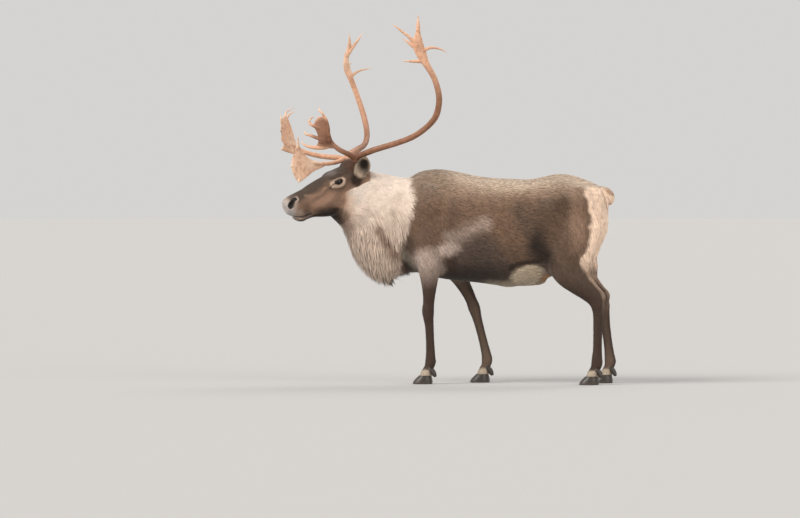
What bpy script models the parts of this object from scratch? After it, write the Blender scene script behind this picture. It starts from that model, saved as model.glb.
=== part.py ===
"""A standing caribou bull, life size, in metres. It faces -X, its left side is at -Y and +Z is up."""

import math
import random

import bmesh
import bpy
import numpy as np
from mathutils import Matrix, Vector
from mathutils.bvhtree import BVHTree

# Driving dimensions
GAP = 0.0003  # between nodes that meet face to face
BODY_VOXEL = 0.008
HEAD_VOXEL = 0.004
BODY_TRIANGLES = 3700
HEAD_TRIANGLES = 1500
HEAD_YAW = math.radians(32)  # the head looks to its left
HEAD_PITCH = math.radians(25)  # the nose line falls forward
HEAD_ROLL = math.radians(5)  # the crown leans to the left
HEAD_ORIGIN = Vector((-0.516, -0.045, 1.12))
EYE_RADIUS = 0.0185
EYE_PLACE = (0.108, 0.0675, 0.018)  # along the nose, to the side, above the head's axis
LID = 0.003
OPENING = (0.0185, 0.0125, 0.0122)  # half axes of the cut between the lids
SOLE_TOP = 0.045
DEWCLAW = ((0.018, 0.014, 0.088, 0.010), (0.036, 0.019, 0.072, 0.013), (0.048, 0.023, 0.054, 0.012),
           (0.054, 0.025, 0.036, 0.004))  # behind, aside, height, radius
CLAW_WIDTH = 0.047
CLAW_RINGS = ((0.0, -0.066, 0.036, 1.0), (0.010, -0.065, 0.038, 1.0), (0.026, -0.053, 0.036, 0.94),
              (SOLE_TOP - GAP, -0.034, 0.031, 0.82))  # height, toe, heel, share of the width

# Torso: place along the body, height of the back, height of the belly, half width, widest share
TORSO = [
    (-0.255, 1.085, 0.640, 0.120, 0.50),
    (-0.200, 1.112, 0.602, 0.165, 0.46),
    (-0.137, 1.146, 0.590, 0.188, 0.44),
    (-0.044, 1.159, 0.566, 0.202, 0.43),
    (0.058, 1.146, 0.550, 0.212, 0.43),
    (0.160, 1.124, 0.542, 0.222, 0.43),
    (0.260, 1.112, 0.529, 0.230, 0.43),
    (0.350, 1.108, 0.516, 0.231, 0.43),
    (0.450, 1.105, 0.537, 0.224, 0.44),
    (0.530, 1.119, 0.560, 0.214, 0.46),
    (0.605, 1.134, 0.585, 0.205, 0.50),
    (0.690, 1.126, 0.620, 0.193, 0.54),
    (0.763, 1.102, 0.660, 0.172, 0.56),
    (0.820, 1.076, 0.700, 0.142, 0.56),
    (0.858, 1.046, 0.745, 0.105, 0.56),
    (0.880, 0.990, 0.810, 0.060, 0.56),
]

# Neck: top x and z, bottom x and z, half width, sideways place, turn in degrees
NECK = [
    (-0.120, 1.118, -0.140, 0.640, 0.165, 0.000, 0),
    (-0.190, 1.110, -0.205, 0.592, 0.168, 0.000, 0),
    (-0.230, 1.112, -0.270, 0.574, 0.158, 0.000, 1),
    (-0.262, 1.119, -0.335, 0.556, 0.150, 0.000, 3),
    (-0.303, 1.127, -0.402, 0.573, 0.143, -0.003, 6),
    (-0.345, 1.135, -0.465, 0.622, 0.134, -0.009, 9),
    (-0.387, 1.143, -0.513, 0.700, 0.122, -0.017, 13),
    (-0.425, 1.150, -0.546, 0.790, 0.108, -0.027, 18),
    (-0.457, 1.155, -0.580, 0.855, 0.095, -0.038, 23),
    (-0.500, 1.155, -0.622, 0.900, 0.080, -0.052, 28),
]

# Legs: x, y, z of the middle line, half depth, half width
FORE_LEFT = [
    (-0.060, -0.080, 0.930, 0.060, 0.050),
    (-0.080, -0.128, 0.820, 0.112, 0.072),
    (-0.078, -0.146, 0.735, 0.099, 0.066),
    (-0.073, -0.150, 0.670, 0.080, 0.056),
    (-0.071, -0.148, 0.610, 0.062, 0.048),
    (-0.071, -0.144, 0.540, 0.046, 0.040),
    (-0.073, -0.140, 0.475, 0.036, 0.034),
    (-0.076, -0.137, 0.430, 0.033, 0.032),
    (-0.079, -0.135, 0.392, 0.036, 0.034),
    (-0.077, -0.134, 0.355, 0.031, 0.030),
    (-0.072, -0.133, 0.310, 0.027, 0.026),
    (-0.068, -0.132, 0.220, 0.026, 0.024),
    (-0.066, -0.131, 0.155, 0.028, 0.026),
    (-0.066, -0.131, 0.118, 0.032, 0.029),
    (-0.074, -0.131, 0.088, 0.027, 0.028),
    (-0.086, -0.131, 0.062, 0.032, 0.035),
    (-0.094, -0.131, 0.030, 0.036, 0.040),
]
FORE_RIGHT = [
    (-0.070, 0.080, 0.930, 0.060, 0.050),
    (-0.076, 0.128, 0.820, 0.112, 0.072),
    (-0.054, 0.146, 0.735, 0.099, 0.066),
    (-0.020, 0.150, 0.672, 0.078, 0.056),
    (0.022, 0.147, 0.612, 0.058, 0.048),
    (0.064, 0.142, 0.550, 0.045, 0.040),
    (0.100, 0.138, 0.487, 0.036, 0.034),
    (0.121, 0.136, 0.443, 0.033, 0.032),
    (0.136, 0.134, 0.405, 0.036, 0.034),
    (0.147, 0.133, 0.368, 0.031, 0.030),
    (0.160, 0.132, 0.322, 0.027, 0.026),
    (0.184, 0.131, 0.232, 0.026, 0.024),
    (0.201, 0.130, 0.163, 0.028, 0.026),
    (0.208, 0.130, 0.122, 0.032, 0.029),
    (0.202, 0.130, 0.090, 0.027, 0.028),
    (0.191, 0.130, 0.063, 0.032, 0.035),
    (0.183, 0.130, 0.030, 0.036, 0.040),
]
HIND_LEFT = [
    (0.690, -0.050, 1.010, 0.070, 0.060),
    (0.700, -0.098, 0.900, 0.150, 0.088),
    (0.694, -0.124, 0.790, 0.160, 0.086),
    (0.676, -0.138, 0.690, 0.132, 0.077),
    (0.692, -0.144, 0.610, 0.100, 0.062),
    (0.738, -0.143, 0.548, 0.072, 0.048),
    (0.786, -0.140, 0.500, 0.054, 0.038),
    (0.824, -0.138, 0.462, 0.046, 0.033),
    (0.840, -0.137, 0.422, 0.040, 0.030),
    (0.842, -0.136, 0.375, 0.031, 0.026),
    (0.840, -0.135, 0.300, 0.028, 0.025),
    (0.838, -0.134, 0.200, 0.027, 0.024),
    (0.836, -0.133, 0.150, 0.030, 0.027),
    (0.835, -0.133, 0.115, 0.034, 0.030),
    (0.827, -0.133, 0.087, 0.028, 0.028),
    (0.815, -0.133, 0.062, 0.032, 0.035),
    (0.807, -0.133, 0.030, 0.036, 0.040),
]
HIND_RIGHT_SHIFT = [0.0, 0.0, 0.0, 0.0, -0.006, -0.008, -0.008, -0.006, -0.002, 0.004, 0.014, 0.030, 0.038,
                    0.043, 0.045, 0.046, 0.046]
HOCK_POINT = (0.866, -0.138, 0.478, 0.020)
TENDON_TOP = (0.795, -0.142, 0.570, 0.020)

# Skull and muzzle: place along the nose, top, bottom, half width, widest share
SKULL = [
    (-0.110, 0.000, -0.110, 0.050, 0.50),
    (-0.075, 0.036, -0.135, 0.066, 0.55),
    (-0.040, 0.056, -0.150, 0.074, 0.62),
    (0.000, 0.064, -0.160, 0.078, 0.68),
    (0.040, 0.070, -0.166, 0.079, 0.72),
    (0.080, 0.072, -0.168, 0.078, 0.74),
    (0.115, 0.070, -0.166, 0.074, 0.74),
    (0.150, 0.066, -0.158, 0.066, 0.70),
    (0.185, 0.066, -0.150, 0.059, 0.64),
    (0.222, 0.064, -0.132, 0.054, 0.60),
    (0.256, 0.061, -0.114, 0.050, 0.58),
    (0.290, 0.056, -0.096, 0.048, 0.56),
    (0.330, 0.0545, -0.083, 0.049, 0.54),
    (0.360, 0.054, -0.074, 0.052, 0.52),
    (0.388, 0.051, -0.062, 0.051, 0.52),
    (0.407, 0.046, -0.048, 0.045, 0.52),
    (0.418, 0.038, -0.034, 0.036, 0.52),
    (0.4235, 0.024, -0.014, 0.020, 0.52),
]
JAW = [
    (0.110, -0.080, -0.158, 0.050, 0.45),
    (0.160, -0.080, -0.157, 0.050, 0.45),
    (0.200, -0.080, -0.150, 0.048, 0.45),
    (0.250, -0.078, -0.130, 0.043, 0.48),
    (0.290, -0.074, -0.112, 0.040, 0.50),
    (0.330, -0.068, -0.105, 0.039, 0.50),
    (0.365, -0.060, -0.106, 0.040, 0.50),
    (0.395, -0.052, -0.097, 0.037, 0.50),
    (0.412, -0.046, -0.082, 0.029, 0.50),
    (0.4215, -0.048, -0.068, 0.014, 0.50),
]
ORBIT = ((0.106, 0.050, 0.018), (0.046, 0.030, 0.036))
BROW = ((0.098, 0.044, 0.044), (0.046, 0.030, 0.022))
CHEEK = ((0.110, 0.026, -0.085), (0.095, 0.036, 0.070))
CROWN = ((-0.015, 0.0, 0.040), (0.062, 0.066, 0.048))
SHEATH = [(0.400, 0.560, 0.040), (0.470, 0.556, 0.032), (0.520, 0.556, 0.026), (0.548, 0.562, 0.012)]
NOSTRIL_WING = ((0.384, 0.032, 0.010), (0.030, 0.021, 0.032))
NOSTRIL = [(0.356, 0.052, 0.028, 0.004), (0.372, 0.050, 0.028, 0.0065), (0.388, 0.047, 0.020, 0.009),
           (0.400, 0.043, 0.008, 0.0115), (0.398, 0.040, -0.004, 0.007)]
MOUTH = [(0.308, 0.043, -0.0795), (0.326, 0.044, -0.0800), (0.351, 0.044, -0.0765), (0.376, 0.042, -0.0650),
         (0.398, 0.035, -0.0520), (0.413, 0.019, -0.0420), (0.421, 0.000, -0.0390)]
MOUTH_SLIT = (0.012, 0.0022)  # depth to each side of the lips' surface, half height

# Ears: places are forward of the poll, to the left and the height; a ring is its share of the length,
# half width, depth behind and how far it is hollowed
EAR_LENGTH = 0.140
EAR_WALL = 0.006
EAR_RINGS = [(0.000, 0.024, 0.022, 0.0), (0.100, 0.026, 0.023, 0.0), (0.210, 0.031, 0.024, 0.6),
             (0.350, 0.037, 0.025, 1.0), (0.500, 0.040, 0.024, 1.0), (0.650, 0.037, 0.020, 1.0),
             (0.790, 0.029, 0.014, 1.0), (0.900, 0.018, 0.008, 1.0), (0.975, 0.007, 0.004, 0.8)]
EAR_BASE = (-0.020, 0.078, 1.108)
EAR_TIPS = {1: (-0.026, 0.152, 1.220), -1: (-0.040, -0.168, 1.196)}
EAR_OPENING = (0.55, 0.80, 0.05)

# Tail: x, z, half width, half thickness
TAIL = [(0.790, 1.050, 0.026, 0.016), (0.835, 1.046, 0.032, 0.019), (0.866, 1.030, 0.036, 0.020),
        (0.884, 1.000, 0.036, 0.020), (0.891, 0.962, 0.029, 0.017), (0.891, 0.928, 0.017, 0.010),
        (0.889, 0.906, 0.004, 0.003)]

# Mane: overlapping locks down the throat and under the neck
MANE_AXIS = ((-0.435, -0.025, 0.985), (-0.300, 0.0, 0.850))  # behind the jaw, then before the shoulder
MANE_FACES = ((-0.78, 0.0, -0.62), (0.02, 0.0, -1.0))  # the way the throat faces at each end of the axis
MANE_ROWS = 6
MANE_COLUMNS = 5
MANE_SPREAD = math.radians(78)  # to each side of the throat's middle
MANE_FLOW = Vector((0.40, 0.0, -1.0))  # the hair falls and lies back
MANE_CORE = 0.018  # how far the locks' tips stand over the core
LOCK_LENGTH = 0.175
LOCK_WIDTH = 0.034  # half width
LOCK_THICK = 0.009  # half thickness
LOCK_STEPS = ((-0.18, -0.024, 0.30, 0.6), (0.20, 0.001, 1.00, 1.0), (0.62, 0.012, 0.80, 0.7),
              (1.0, 0.017, 0.04, 0.1))  # way along, height, share of width, of thickness
MANE_SEED = 5

# Antlers: points forward, to the side and up, each with a radius or two half widths
LEFT_BEAM = [(0.000, 0.058, 1.196, 0.0200), (-0.006, 0.068, 1.214, 0.0185), (-0.033, 0.088, 1.234, 0.0170),
             (-0.090, 0.132, 1.261, 0.0165), (-0.172, 0.210, 1.293, 0.0160), (-0.230, 0.280, 1.323, 0.0160),
             (-0.268, 0.340, 1.358, 0.0160), (-0.300, 0.395, 1.404, 0.0165), (-0.317, 0.432, 1.450, 0.0170),
             (-0.321, 0.455, 1.512, 0.0165), (-0.313, 0.465, 1.570, 0.0165), (-0.289, 0.466, 1.642, 0.0160),
             (-0.258, 0.462, 1.696, 0.0170), (-0.236, 0.457, 1.735, 0.0230, 0.0120),
             (-0.218, 0.452, 1.775, 0.0310, 0.0095), (-0.203, 0.448, 1.815, 0.0330, 0.0085),
             (-0.201, 0.445, 1.850, 0.0270, 0.0085), (-0.204, 0.440, 1.885, 0.0150, 0.0085),
             (-0.208, 0.434, 1.930, 0.0100, 0.0080), (-0.212, 0.422, 1.990, 0.0014)]
LEFT_CROWN_TINES = [
    [(-0.196, 0.446, 1.815, 0.012), (-0.155, 0.435, 1.863, 0.0095), (-0.109, 0.420, 1.901, 0.0065),
     (-0.064, 0.400, 1.939, 0.0014)],
    [(-0.196, 0.446, 1.795, 0.011), (-0.153, 0.430, 1.834, 0.0075), (-0.126, 0.402, 1.860, 0.0014)],
    [(-0.222, 0.450, 1.785, 0.011), (-0.258, 0.455, 1.804, 0.0085), (-0.292, 0.460, 1.807, 0.0070),
     (-0.331, 0.465, 1.798, 0.0050), (-0.364, 0.470, 1.779, 0.0014)],
    [(-0.226, 0.456, 1.735, 0.012), (-0.171, 0.440, 1.734, 0.0075), (-0.109, 0.420, 1.736, 0.0014)],
]
LEFT_BEZ = [(-0.004, 0.064, 1.205, 0.0165), (0.018, 0.078, 1.222, 0.0160), (0.056, 0.100, 1.238, 0.0145),
            (0.111, 0.130, 1.256, 0.0140), (0.160, 0.160, 1.280, 0.0135), (0.195, 0.185, 1.307, 0.0120),
            (0.213, 0.200, 1.345, 0.0100), (0.218, 0.205, 1.384, 0.0085), (0.230, 0.205, 1.423, 0.0075),
            (0.249, 0.200, 1.453, 0.0065), (0.264, 0.190, 1.474, 0.0050), (0.260, 0.180, 1.494, 0.0014)]
LEFT_PALM = [((0.150, 0.155, 1.272), (0.160, 0.148, 1.268)), ((0.188, 0.178, 1.290), (0.228, 0.135, 1.277)),
             ((0.204, 0.192, 1.320), (0.258, 0.140, 1.312)), ((0.214, 0.200, 1.350), (0.264, 0.140, 1.350)),
             ((0.219, 0.200, 1.385), (0.272, 0.137, 1.384)), ((0.228, 0.198, 1.415), (0.268, 0.148, 1.412)),
             ((0.243, 0.196, 1.440), (0.258, 0.172, 1.430))]
LEFT_BEZ_TINES = [
    [(0.252, 0.162, 1.378, 0.0055), (0.258, 0.150, 1.390, 0.0075), (0.284, 0.122, 1.407, 0.0060),
     (0.284, 0.115, 1.427, 0.0045), (0.262, 0.120, 1.443, 0.0014)],
    [(0.240, 0.155, 1.324, 0.0055), (0.251, 0.140, 1.327, 0.0075), (0.285, 0.110, 1.340, 0.0060),
     (0.309, 0.100, 1.347, 0.0045), (0.313, 0.100, 1.366, 0.0014)],
    [(0.190, 0.152, 1.274, 0.0060), (0.223, 0.130, 1.267, 0.0080), (0.269, 0.100, 1.273, 0.0065),
     (0.302, 0.080, 1.287, 0.0050), (0.320, 0.075, 1.311, 0.0014)],
]
RIGHT_BEAM = [(0.000, -0.058, 1.192, 0.0205), (-0.008, -0.070, 1.210, 0.0200), (-0.050, -0.102, 1.238, 0.0195),
              (-0.119, -0.162, 1.262, 0.0175), (-0.190, -0.242, 1.286, 0.0155), (-0.234, -0.310, 1.323, 0.0155),
              (-0.260, -0.370, 1.366, 0.0155), (-0.270, -0.412, 1.409, 0.0160), (-0.267, -0.440, 1.463, 0.0155),
              (-0.250, -0.455, 1.528, 0.0150), (-0.225, -0.460, 1.598, 0.0150), (-0.203, -0.460, 1.650, 0.0160),
              (-0.183, -0.456, 1.694, 0.0200, 0.0110), (-0.173, -0.450, 1.733, 0.0170, 0.0110),
              (-0.174, -0.445, 1.771, 0.0150, 0.0100), (-0.187, -0.441, 1.804, 0.0160, 0.0085),
              (-0.186, -0.434, 1.850, 0.0080, 0.0070), (-0.178, -0.420, 1.903, 0.0014)]
RIGHT_CROWN_TINES = [
    [(-0.184, -0.442, 1.785, 0.0110), (-0.206, -0.437, 1.818, 0.0090), (-0.236, -0.433, 1.857, 0.0065),
     (-0.265, -0.430, 1.902, 0.0014)],
    [(-0.205, -0.458, 1.660, 0.0110), (-0.232, -0.462, 1.677, 0.0080), (-0.262, -0.466, 1.691, 0.0060),
     (-0.298, -0.470, 1.699, 0.0045), (-0.339, -0.472, 1.706, 0.0014)],
    [(-0.176, -0.452, 1.708, 0.0080), (-0.194, -0.450, 1.725, 0.0045), (-0.210, -0.449, 1.735, 0.0014)],
]
RIGHT_BEZ = [(-0.004, -0.064, 1.203, 0.0165), (0.031, -0.088, 1.216, 0.0150), (0.079, -0.115, 1.220, 0.0140),
             (0.127, -0.140, 1.227, 0.0135), (0.175, -0.163, 1.240, 0.0130), (0.212, -0.180, 1.256, 0.0120),
             (0.245, -0.180, 1.275, 0.0085), (0.270, -0.178, 1.300, 0.0060)]
RIGHT_PALM = [((0.170, -0.166, 1.234), (0.180, -0.158, 1.246)), ((0.222, -0.190, 1.236), (0.262, -0.160, 1.240)),
              ((0.232, -0.195, 1.258), (0.350, -0.122, 1.258)), ((0.232, -0.197, 1.288), (0.336, -0.128, 1.289)),
              ((0.236, -0.200, 1.312), (0.354, -0.120, 1.312)), ((0.250, -0.200, 1.355), (0.355, -0.120, 1.358)),
              ((0.268, -0.195, 1.398), (0.358, -0.120, 1.402)), ((0.286, -0.186, 1.428), (0.342, -0.132, 1.430))]
RIGHT_BEZ_TINES = [
    [(0.294, -0.182, 1.412, 0.0055), (0.287, -0.190, 1.434, 0.0060), (0.268, -0.192, 1.455, 0.0045),
     (0.235, -0.195, 1.471, 0.0014)],
    [(0.318, -0.156, 1.418, 0.0055), (0.312, -0.165, 1.440, 0.0065), (0.296, -0.172, 1.466, 0.0045),
     (0.240, -0.185, 1.491, 0.0014)],
    [(0.344, -0.130, 1.402, 0.0052), (0.352, -0.128, 1.424, 0.0055), (0.352, -0.130, 1.452, 0.0014)],
    [(0.342, -0.129, 1.359, 0.0052), (0.356, -0.116, 1.362, 0.0060), (0.366, -0.098, 1.374, 0.0014)],
    [(0.335, -0.132, 1.265, 0.0052), (0.350, -0.118, 1.262, 0.0060), (0.362, -0.100, 1.256, 0.0014)],
]
RIGHT_BROW = [(-0.002, -0.062, 1.205, 0.0150), (0.022, -0.053, 1.204, 0.0140), (0.058, -0.042, 1.194, 0.0125),
              (0.105, -0.030, 1.186, 0.0115), (0.150, -0.020, 1.184, 0.0110), (0.195, -0.010, 1.186, 0.0095),
              (0.232, -0.004, 1.196, 0.0075)]
SHOVEL = [((0.140, -0.022, 1.190), (0.140, -0.022, 1.170)), ((0.175, -0.014, 1.196), (0.175, -0.014, 1.156)),
          ((0.210, -0.008, 1.204), (0.210, -0.008, 1.142)), ((0.240, -0.003, 1.216), (0.240, -0.003, 1.122)),
          ((0.265, 0.000, 1.236), (0.265, 0.000, 1.103)), ((0.286, 0.000, 1.266), (0.286, 0.000, 1.088)),
          ((0.304, 0.000, 1.290), (0.304, 0.000, 1.087)), ((0.320, 0.000, 1.275), (0.320, 0.000, 1.098)),
          ((0.334, 0.000, 1.235), (0.334, 0.000, 1.128)), ((0.345, 0.000, 1.195), (0.345, 0.000, 1.152))]
SHOVEL_TINES = [
    [(0.303, 0.000, 1.275, 0.0055), (0.306, 0.000, 1.300, 0.0065), (0.308, 0.002, 1.337, 0.0014)],
    [(0.322, 0.000, 1.243, 0.0052), (0.334, 0.002, 1.254, 0.0055), (0.343, 0.006, 1.274, 0.0014)],
    [(0.332, 0.000, 1.172, 0.0052), (0.343, 0.002, 1.172, 0.0060), (0.358, 0.005, 1.170, 0.0014)],
    [(0.299, 0.000, 1.104, 0.0052), (0.302, 0.003, 1.092, 0.0060), (0.306, 0.007, 1.078, 0.0014)],
]
PALM_THICK = 0.0055  # half thickness of a palm in its middle
BURR = (0.0270, 0.009)  # radius and half height of the coronet at an antler's foot
LEFT_BEAM_CUTS = (8, 22)  # rings where a beam is parted from its foot and from its crown
RIGHT_BEAM_CUTS = (8, 20)
LEFT_BEZ_CUT = 5
RIGHT_BEZ_CUT = 4
BROW_CUT = 4

COLOURS = {
    "hide_brown": (0.155, 0.115, 0.088, 1),
    "hide_cream": (0.560, 0.485, 0.400, 1),
    "hide_dark": (0.070, 0.050, 0.038, 1),
    "antler_bone": (0.520, 0.310, 0.220, 1),
    "hoof_horn": (0.030, 0.024, 0.020, 1),
    "eye_wet": (0.010, 0.008, 0.006, 1),
}
ROUGHNESS = {"eye_wet": 0.08, "hoof_horn": 0.45, "antler_bone": 0.60}


def clear_scene():
    for obj in list(bpy.data.objects):
        bpy.data.objects.remove(obj)


def make_collection(name):
    collection = bpy.data.collections.new(name)
    bpy.context.scene.collection.children.link(collection)
    return collection


def material(name):
    found = bpy.data.materials.get(name)
    if found:
        return found
    made = bpy.data.materials.new(name)
    made.use_nodes = True
    shader = made.node_tree.nodes["Principled BSDF"]
    shader.inputs["Base Color"].default_value = COLOURS[name]
    shader.inputs["Roughness"].default_value = ROUGHNESS.get(name, 0.85)
    return made


# Shapes

def curve_through(points, steps):
    """Points on a Catmull-Rom curve through the given rows; every column is blended alike."""
    rows = np.array(points, float)
    rows = np.vstack([2 * rows[0] - rows[1], rows, 2 * rows[-1] - rows[-2]])
    made = []
    for i in range(1, len(rows) - 2):
        a, b, c, d = rows[i - 1:i + 3]
        for s in range(steps):
            t = s / steps
            made.append(0.5 * (2 * b + (c - a) * t + (2 * a - 5 * b + 4 * c - d) * t**2
                               + (3 * b - a - 3 * c + d) * t**3))
    made.append(rows[-2])
    return np.array(made)


def section(top, bottom, side, widest, count):
    """A closed ring through top and bottom, widest at a share of its height, as far as side to each hand."""
    middle = bottom + (top - bottom) * widest
    ring = []
    for k in range(count):
        angle = 2 * math.pi * k / count
        up = math.cos(angle)
        reach = (top - middle) if up > 0 else (middle - bottom)
        across = math.copysign(abs(math.sin(angle)) ** 0.88, math.sin(angle))
        ring.append(middle + reach * up + side * across)
    return ring


def mesh_of_rings(rings):
    """A closed mesh lofted through rings of equal count, with a flat cap at each end."""
    count = len(rings[0])
    shape = bmesh.new()
    rows = [[shape.verts.new(Vector(p)) for p in ring] for ring in rings]
    for low, high in zip(rows, rows[1:]):
        for k in range(count):
            shape.faces.new((low[k], low[(k + 1) % count], high[(k + 1) % count], high[k]))
    shape.faces.new(rows[0][::-1])
    shape.faces.new(rows[-1])
    bmesh.ops.recalc_face_normals(shape, faces=shape.faces)
    bmesh.ops.triangulate(shape, faces=shape.faces)
    mesh = bpy.data.meshes.new("loft")
    shape.to_mesh(mesh)
    shape.free()
    return mesh


def blob(centre, axes, radii, segments=16, rings=10):
    """An ellipsoid whose half axes lie along the three given directions."""
    shape = bmesh.new()
    bmesh.ops.create_uvsphere(shape, u_segments=segments, v_segments=rings, radius=1)
    turn = Matrix([[axes[c][r] * radii[c] for c in range(3)] + [centre[r]] for r in range(3)] + [[0, 0, 0, 1]])
    bmesh.ops.transform(shape, matrix=turn, verts=shape.verts)
    bmesh.ops.recalc_face_normals(shape, faces=shape.faces)
    mesh = bpy.data.meshes.new("blob")
    shape.to_mesh(mesh)
    shape.free()
    return mesh


def tube_rings(points, sides, hint, steady=False):
    """Rings across a path. A row holds x, y, z and one radius, or two half widths, the first along the hint.
    A steady hint holds all the way, and otherwise it turns with the path."""
    path = [Vector(p[:3]) for p in points]
    rings = []
    across = Vector(hint)
    for i, place in enumerate(path):
        ahead = (path[min(i + 1, len(path) - 1)] - path[max(i - 1, 0)]).normalized()
        across = Vector(hint) if steady else across
        across = (across - ahead * across.dot(ahead)).normalized()
        other = ahead.cross(across)
        wide, thick = points[i][3], points[i][-1]
        rings.append([place + across * wide * math.cos(a) + other * thick * math.sin(a)
                      for a in (2 * math.pi * k / sides for k in range(sides))])
    return rings


def tube(points, sides=8, hint=(0.3, 1, 0.2), steps=2):
    return mesh_of_rings(tube_rings(curve_through(points, steps), sides, hint))


def palm(edges, thick, sides=8):
    """A thin plate with rounded edges between two edge lines, thickest in its middle."""
    rows = np.array([list(a) + list(b) for a, b in edges])
    middles = [(Vector(r[:3]) + Vector(r[3:])) / 2 for r in rows]
    rings = []
    for i, row in enumerate(rows):
        half = (Vector(row[:3]) - Vector(row[3:])) / 2
        ahead = (middles[min(i + 1, len(rows) - 1)] - middles[max(i - 1, 0)]).normalized()
        normal = half.cross(ahead).normalized()
        depth = min(thick, half.length * 0.5)
        rings.append([middles[i] + half * math.cos(a) + normal * depth * math.sin(a)
                      for a in (2 * math.pi * k / sides for k in range(sides))])
    return mesh_of_rings(rings)


def half_space(point, normal, shift, size=1.6):
    """A cube with one face on the plane, on the side that the normal points to."""
    normal = Vector(normal).normalized()
    shape = bmesh.new()
    bmesh.ops.create_cube(shape, size=size)
    turn = normal.to_track_quat("Z", "Y").to_matrix().to_4x4()
    turn.translation = Vector(point) + normal * (size / 2 + shift)
    bmesh.ops.transform(shape, matrix=turn, verts=shape.verts)
    mesh = bpy.data.meshes.new("half")
    shape.to_mesh(mesh)
    shape.free()
    return mesh


def wedge(front, back, inner, outer, tops, grow):
    """A block from below the feet up to a slanting top: front inner, back inner, front outer, back outer."""
    away = math.copysign(1, outer)
    corners = [(front - grow, inner - away * grow), (back + grow, inner - away * grow),
               (front - grow, outer), (back + grow, outer)]
    shape = bmesh.new()
    for (x, y), top in zip(corners, tops):
        shape.verts.new((x, y, -0.2))
        shape.verts.new((x, y, top + grow))
    bmesh.ops.convex_hull(shape, input=shape.verts)
    mesh = bpy.data.meshes.new("wedge")
    shape.to_mesh(mesh)
    shape.free()
    return mesh


# Objects

def add_object(name, mesh, collection):
    obj = bpy.data.objects.new(name, mesh)
    collection.objects.link(obj)
    return obj


def evaluated_mesh(obj):
    graph = bpy.context.evaluated_depsgraph_get()
    return bpy.data.meshes.new_from_object(obj.evaluated_get(graph))


def apply_modifiers(obj):
    mesh = evaluated_mesh(obj)
    obj.modifiers.clear()
    obj.data = mesh


def joined(name, meshes, collection):
    """One object that holds all the meshes, still separate shells."""
    shape = bmesh.new()
    for mesh in meshes:
        shape.from_mesh(mesh)
    made = bpy.data.meshes.new(name)
    shape.to_mesh(made)
    shape.free()
    return add_object(name, made, collection)


def keep_largest(obj):
    """Leaves only the largest closed surface."""
    shape = bmesh.new()
    shape.from_mesh(obj.data)
    bmesh.ops.remove_doubles(shape, verts=shape.verts, dist=1e-6)
    left = set(shape.faces)
    groups = []
    while left:
        edge_of = [left.pop()]
        group = set(edge_of)
        while edge_of:
            for edge in edge_of.pop().edges:
                for face in edge.link_faces:
                    if face in left:
                        left.remove(face)
                        group.add(face)
                        edge_of.append(face)
        groups.append(group)
    groups.sort(key=lambda g: sum(f.calc_area() for f in g))
    for group in groups[:-1]:
        bmesh.ops.delete(shape, geom=list(group), context="FACES")
    shape.to_mesh(obj.data)
    shape.free()


def combine(obj, meshes, operation, solver="EXACT"):
    """One Boolean of the object with a collection of closed meshes, applied."""
    helpers = make_collection("helpers")
    for i, mesh in enumerate(meshes):
        add_object(f"helper_{i}", mesh, helpers)
    step = obj.modifiers.new("combine", "BOOLEAN")
    step.operation = operation
    step.operand_type = "COLLECTION"
    step.collection = helpers
    step.solver = solver
    apply_modifiers(obj)
    for helper in list(helpers.objects):
        bpy.data.objects.remove(helper)
    bpy.data.collections.remove(helpers)
    keep_largest(obj)


def copy_of(obj, name, collection):
    return add_object(name, obj.data.copy(), collection)


def remeshed(obj, voxel, rounds, triangles):
    """Fuses overlapping shells into one smooth skin and thins it to a count of triangles."""
    fuse = obj.modifiers.new("fuse", "REMESH")
    fuse.mode = "VOXEL"
    fuse.voxel_size = voxel
    relax = obj.modifiers.new("relax", "SMOOTH")
    relax.factor = 0.5
    relax.iterations = rounds
    apply_modifiers(obj)
    keep_largest(obj)
    faces = sum(len(p.vertices) - 2 for p in obj.data.polygons)
    thin = obj.modifiers.new("thin", "DECIMATE")
    thin.ratio = triangles / faces
    apply_modifiers(obj)
    keep_largest(obj)


# Head frame: one point from places along the nose, to the left and above

def facing():
    forward = Vector((-math.cos(HEAD_YAW), -math.sin(HEAD_YAW), 0))
    left = Vector((math.sin(HEAD_YAW), -math.cos(HEAD_YAW), 0))
    return forward, left


def head_axes():
    forward, left = facing()
    up = Vector((0, 0, 1))
    nose = forward * math.cos(HEAD_PITCH) - up * math.sin(HEAD_PITCH)
    crown = forward * math.sin(HEAD_PITCH) + up * math.cos(HEAD_PITCH)
    rolled = crown * math.cos(HEAD_ROLL) + left * math.sin(HEAD_ROLL)
    flank = left * math.cos(HEAD_ROLL) - crown * math.sin(HEAD_ROLL)
    return nose, flank, rolled


def in_head(along, side, above):
    nose, flank, crown = head_axes()
    return HEAD_ORIGIN + nose * along + flank * side + crown * above


def from_poll(ahead, side, height):
    """A point given level: forward of the poll, to the left, and its height above the floor."""
    forward, left = facing()
    place = HEAD_ORIGIN + forward * ahead + left * side
    place.z = height
    return place


def antler_rows(points):
    """World rows of x, y, z, half width and half thickness."""
    return [list(from_poll(*p[:3])) + [p[3], p[-1]] for p in points]


def palm_edges(edges):
    return [(from_poll(*a), from_poll(*b)) for a, b in edges]


# Flesh

def torso_mesh():
    rings = []
    for x, top, bottom, half, widest in curve_through(TORSO, 2):
        rings.append(section(Vector((x, 0, top)), Vector((x, 0, bottom)), Vector((0, half, 0)), widest, 30))
    return mesh_of_rings(rings)


def neck_mesh():
    rings = []
    for top_x, top_z, low_x, low_z, half, y, turn in curve_through(NECK, 2):
        side = Vector((-math.sin(math.radians(turn)), math.cos(math.radians(turn)), 0)) * half
        rings.append(section(Vector((top_x, y, top_z)), Vector((low_x, y, low_z)), side, 0.5, 28))
    return mesh_of_rings(rings)


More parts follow.
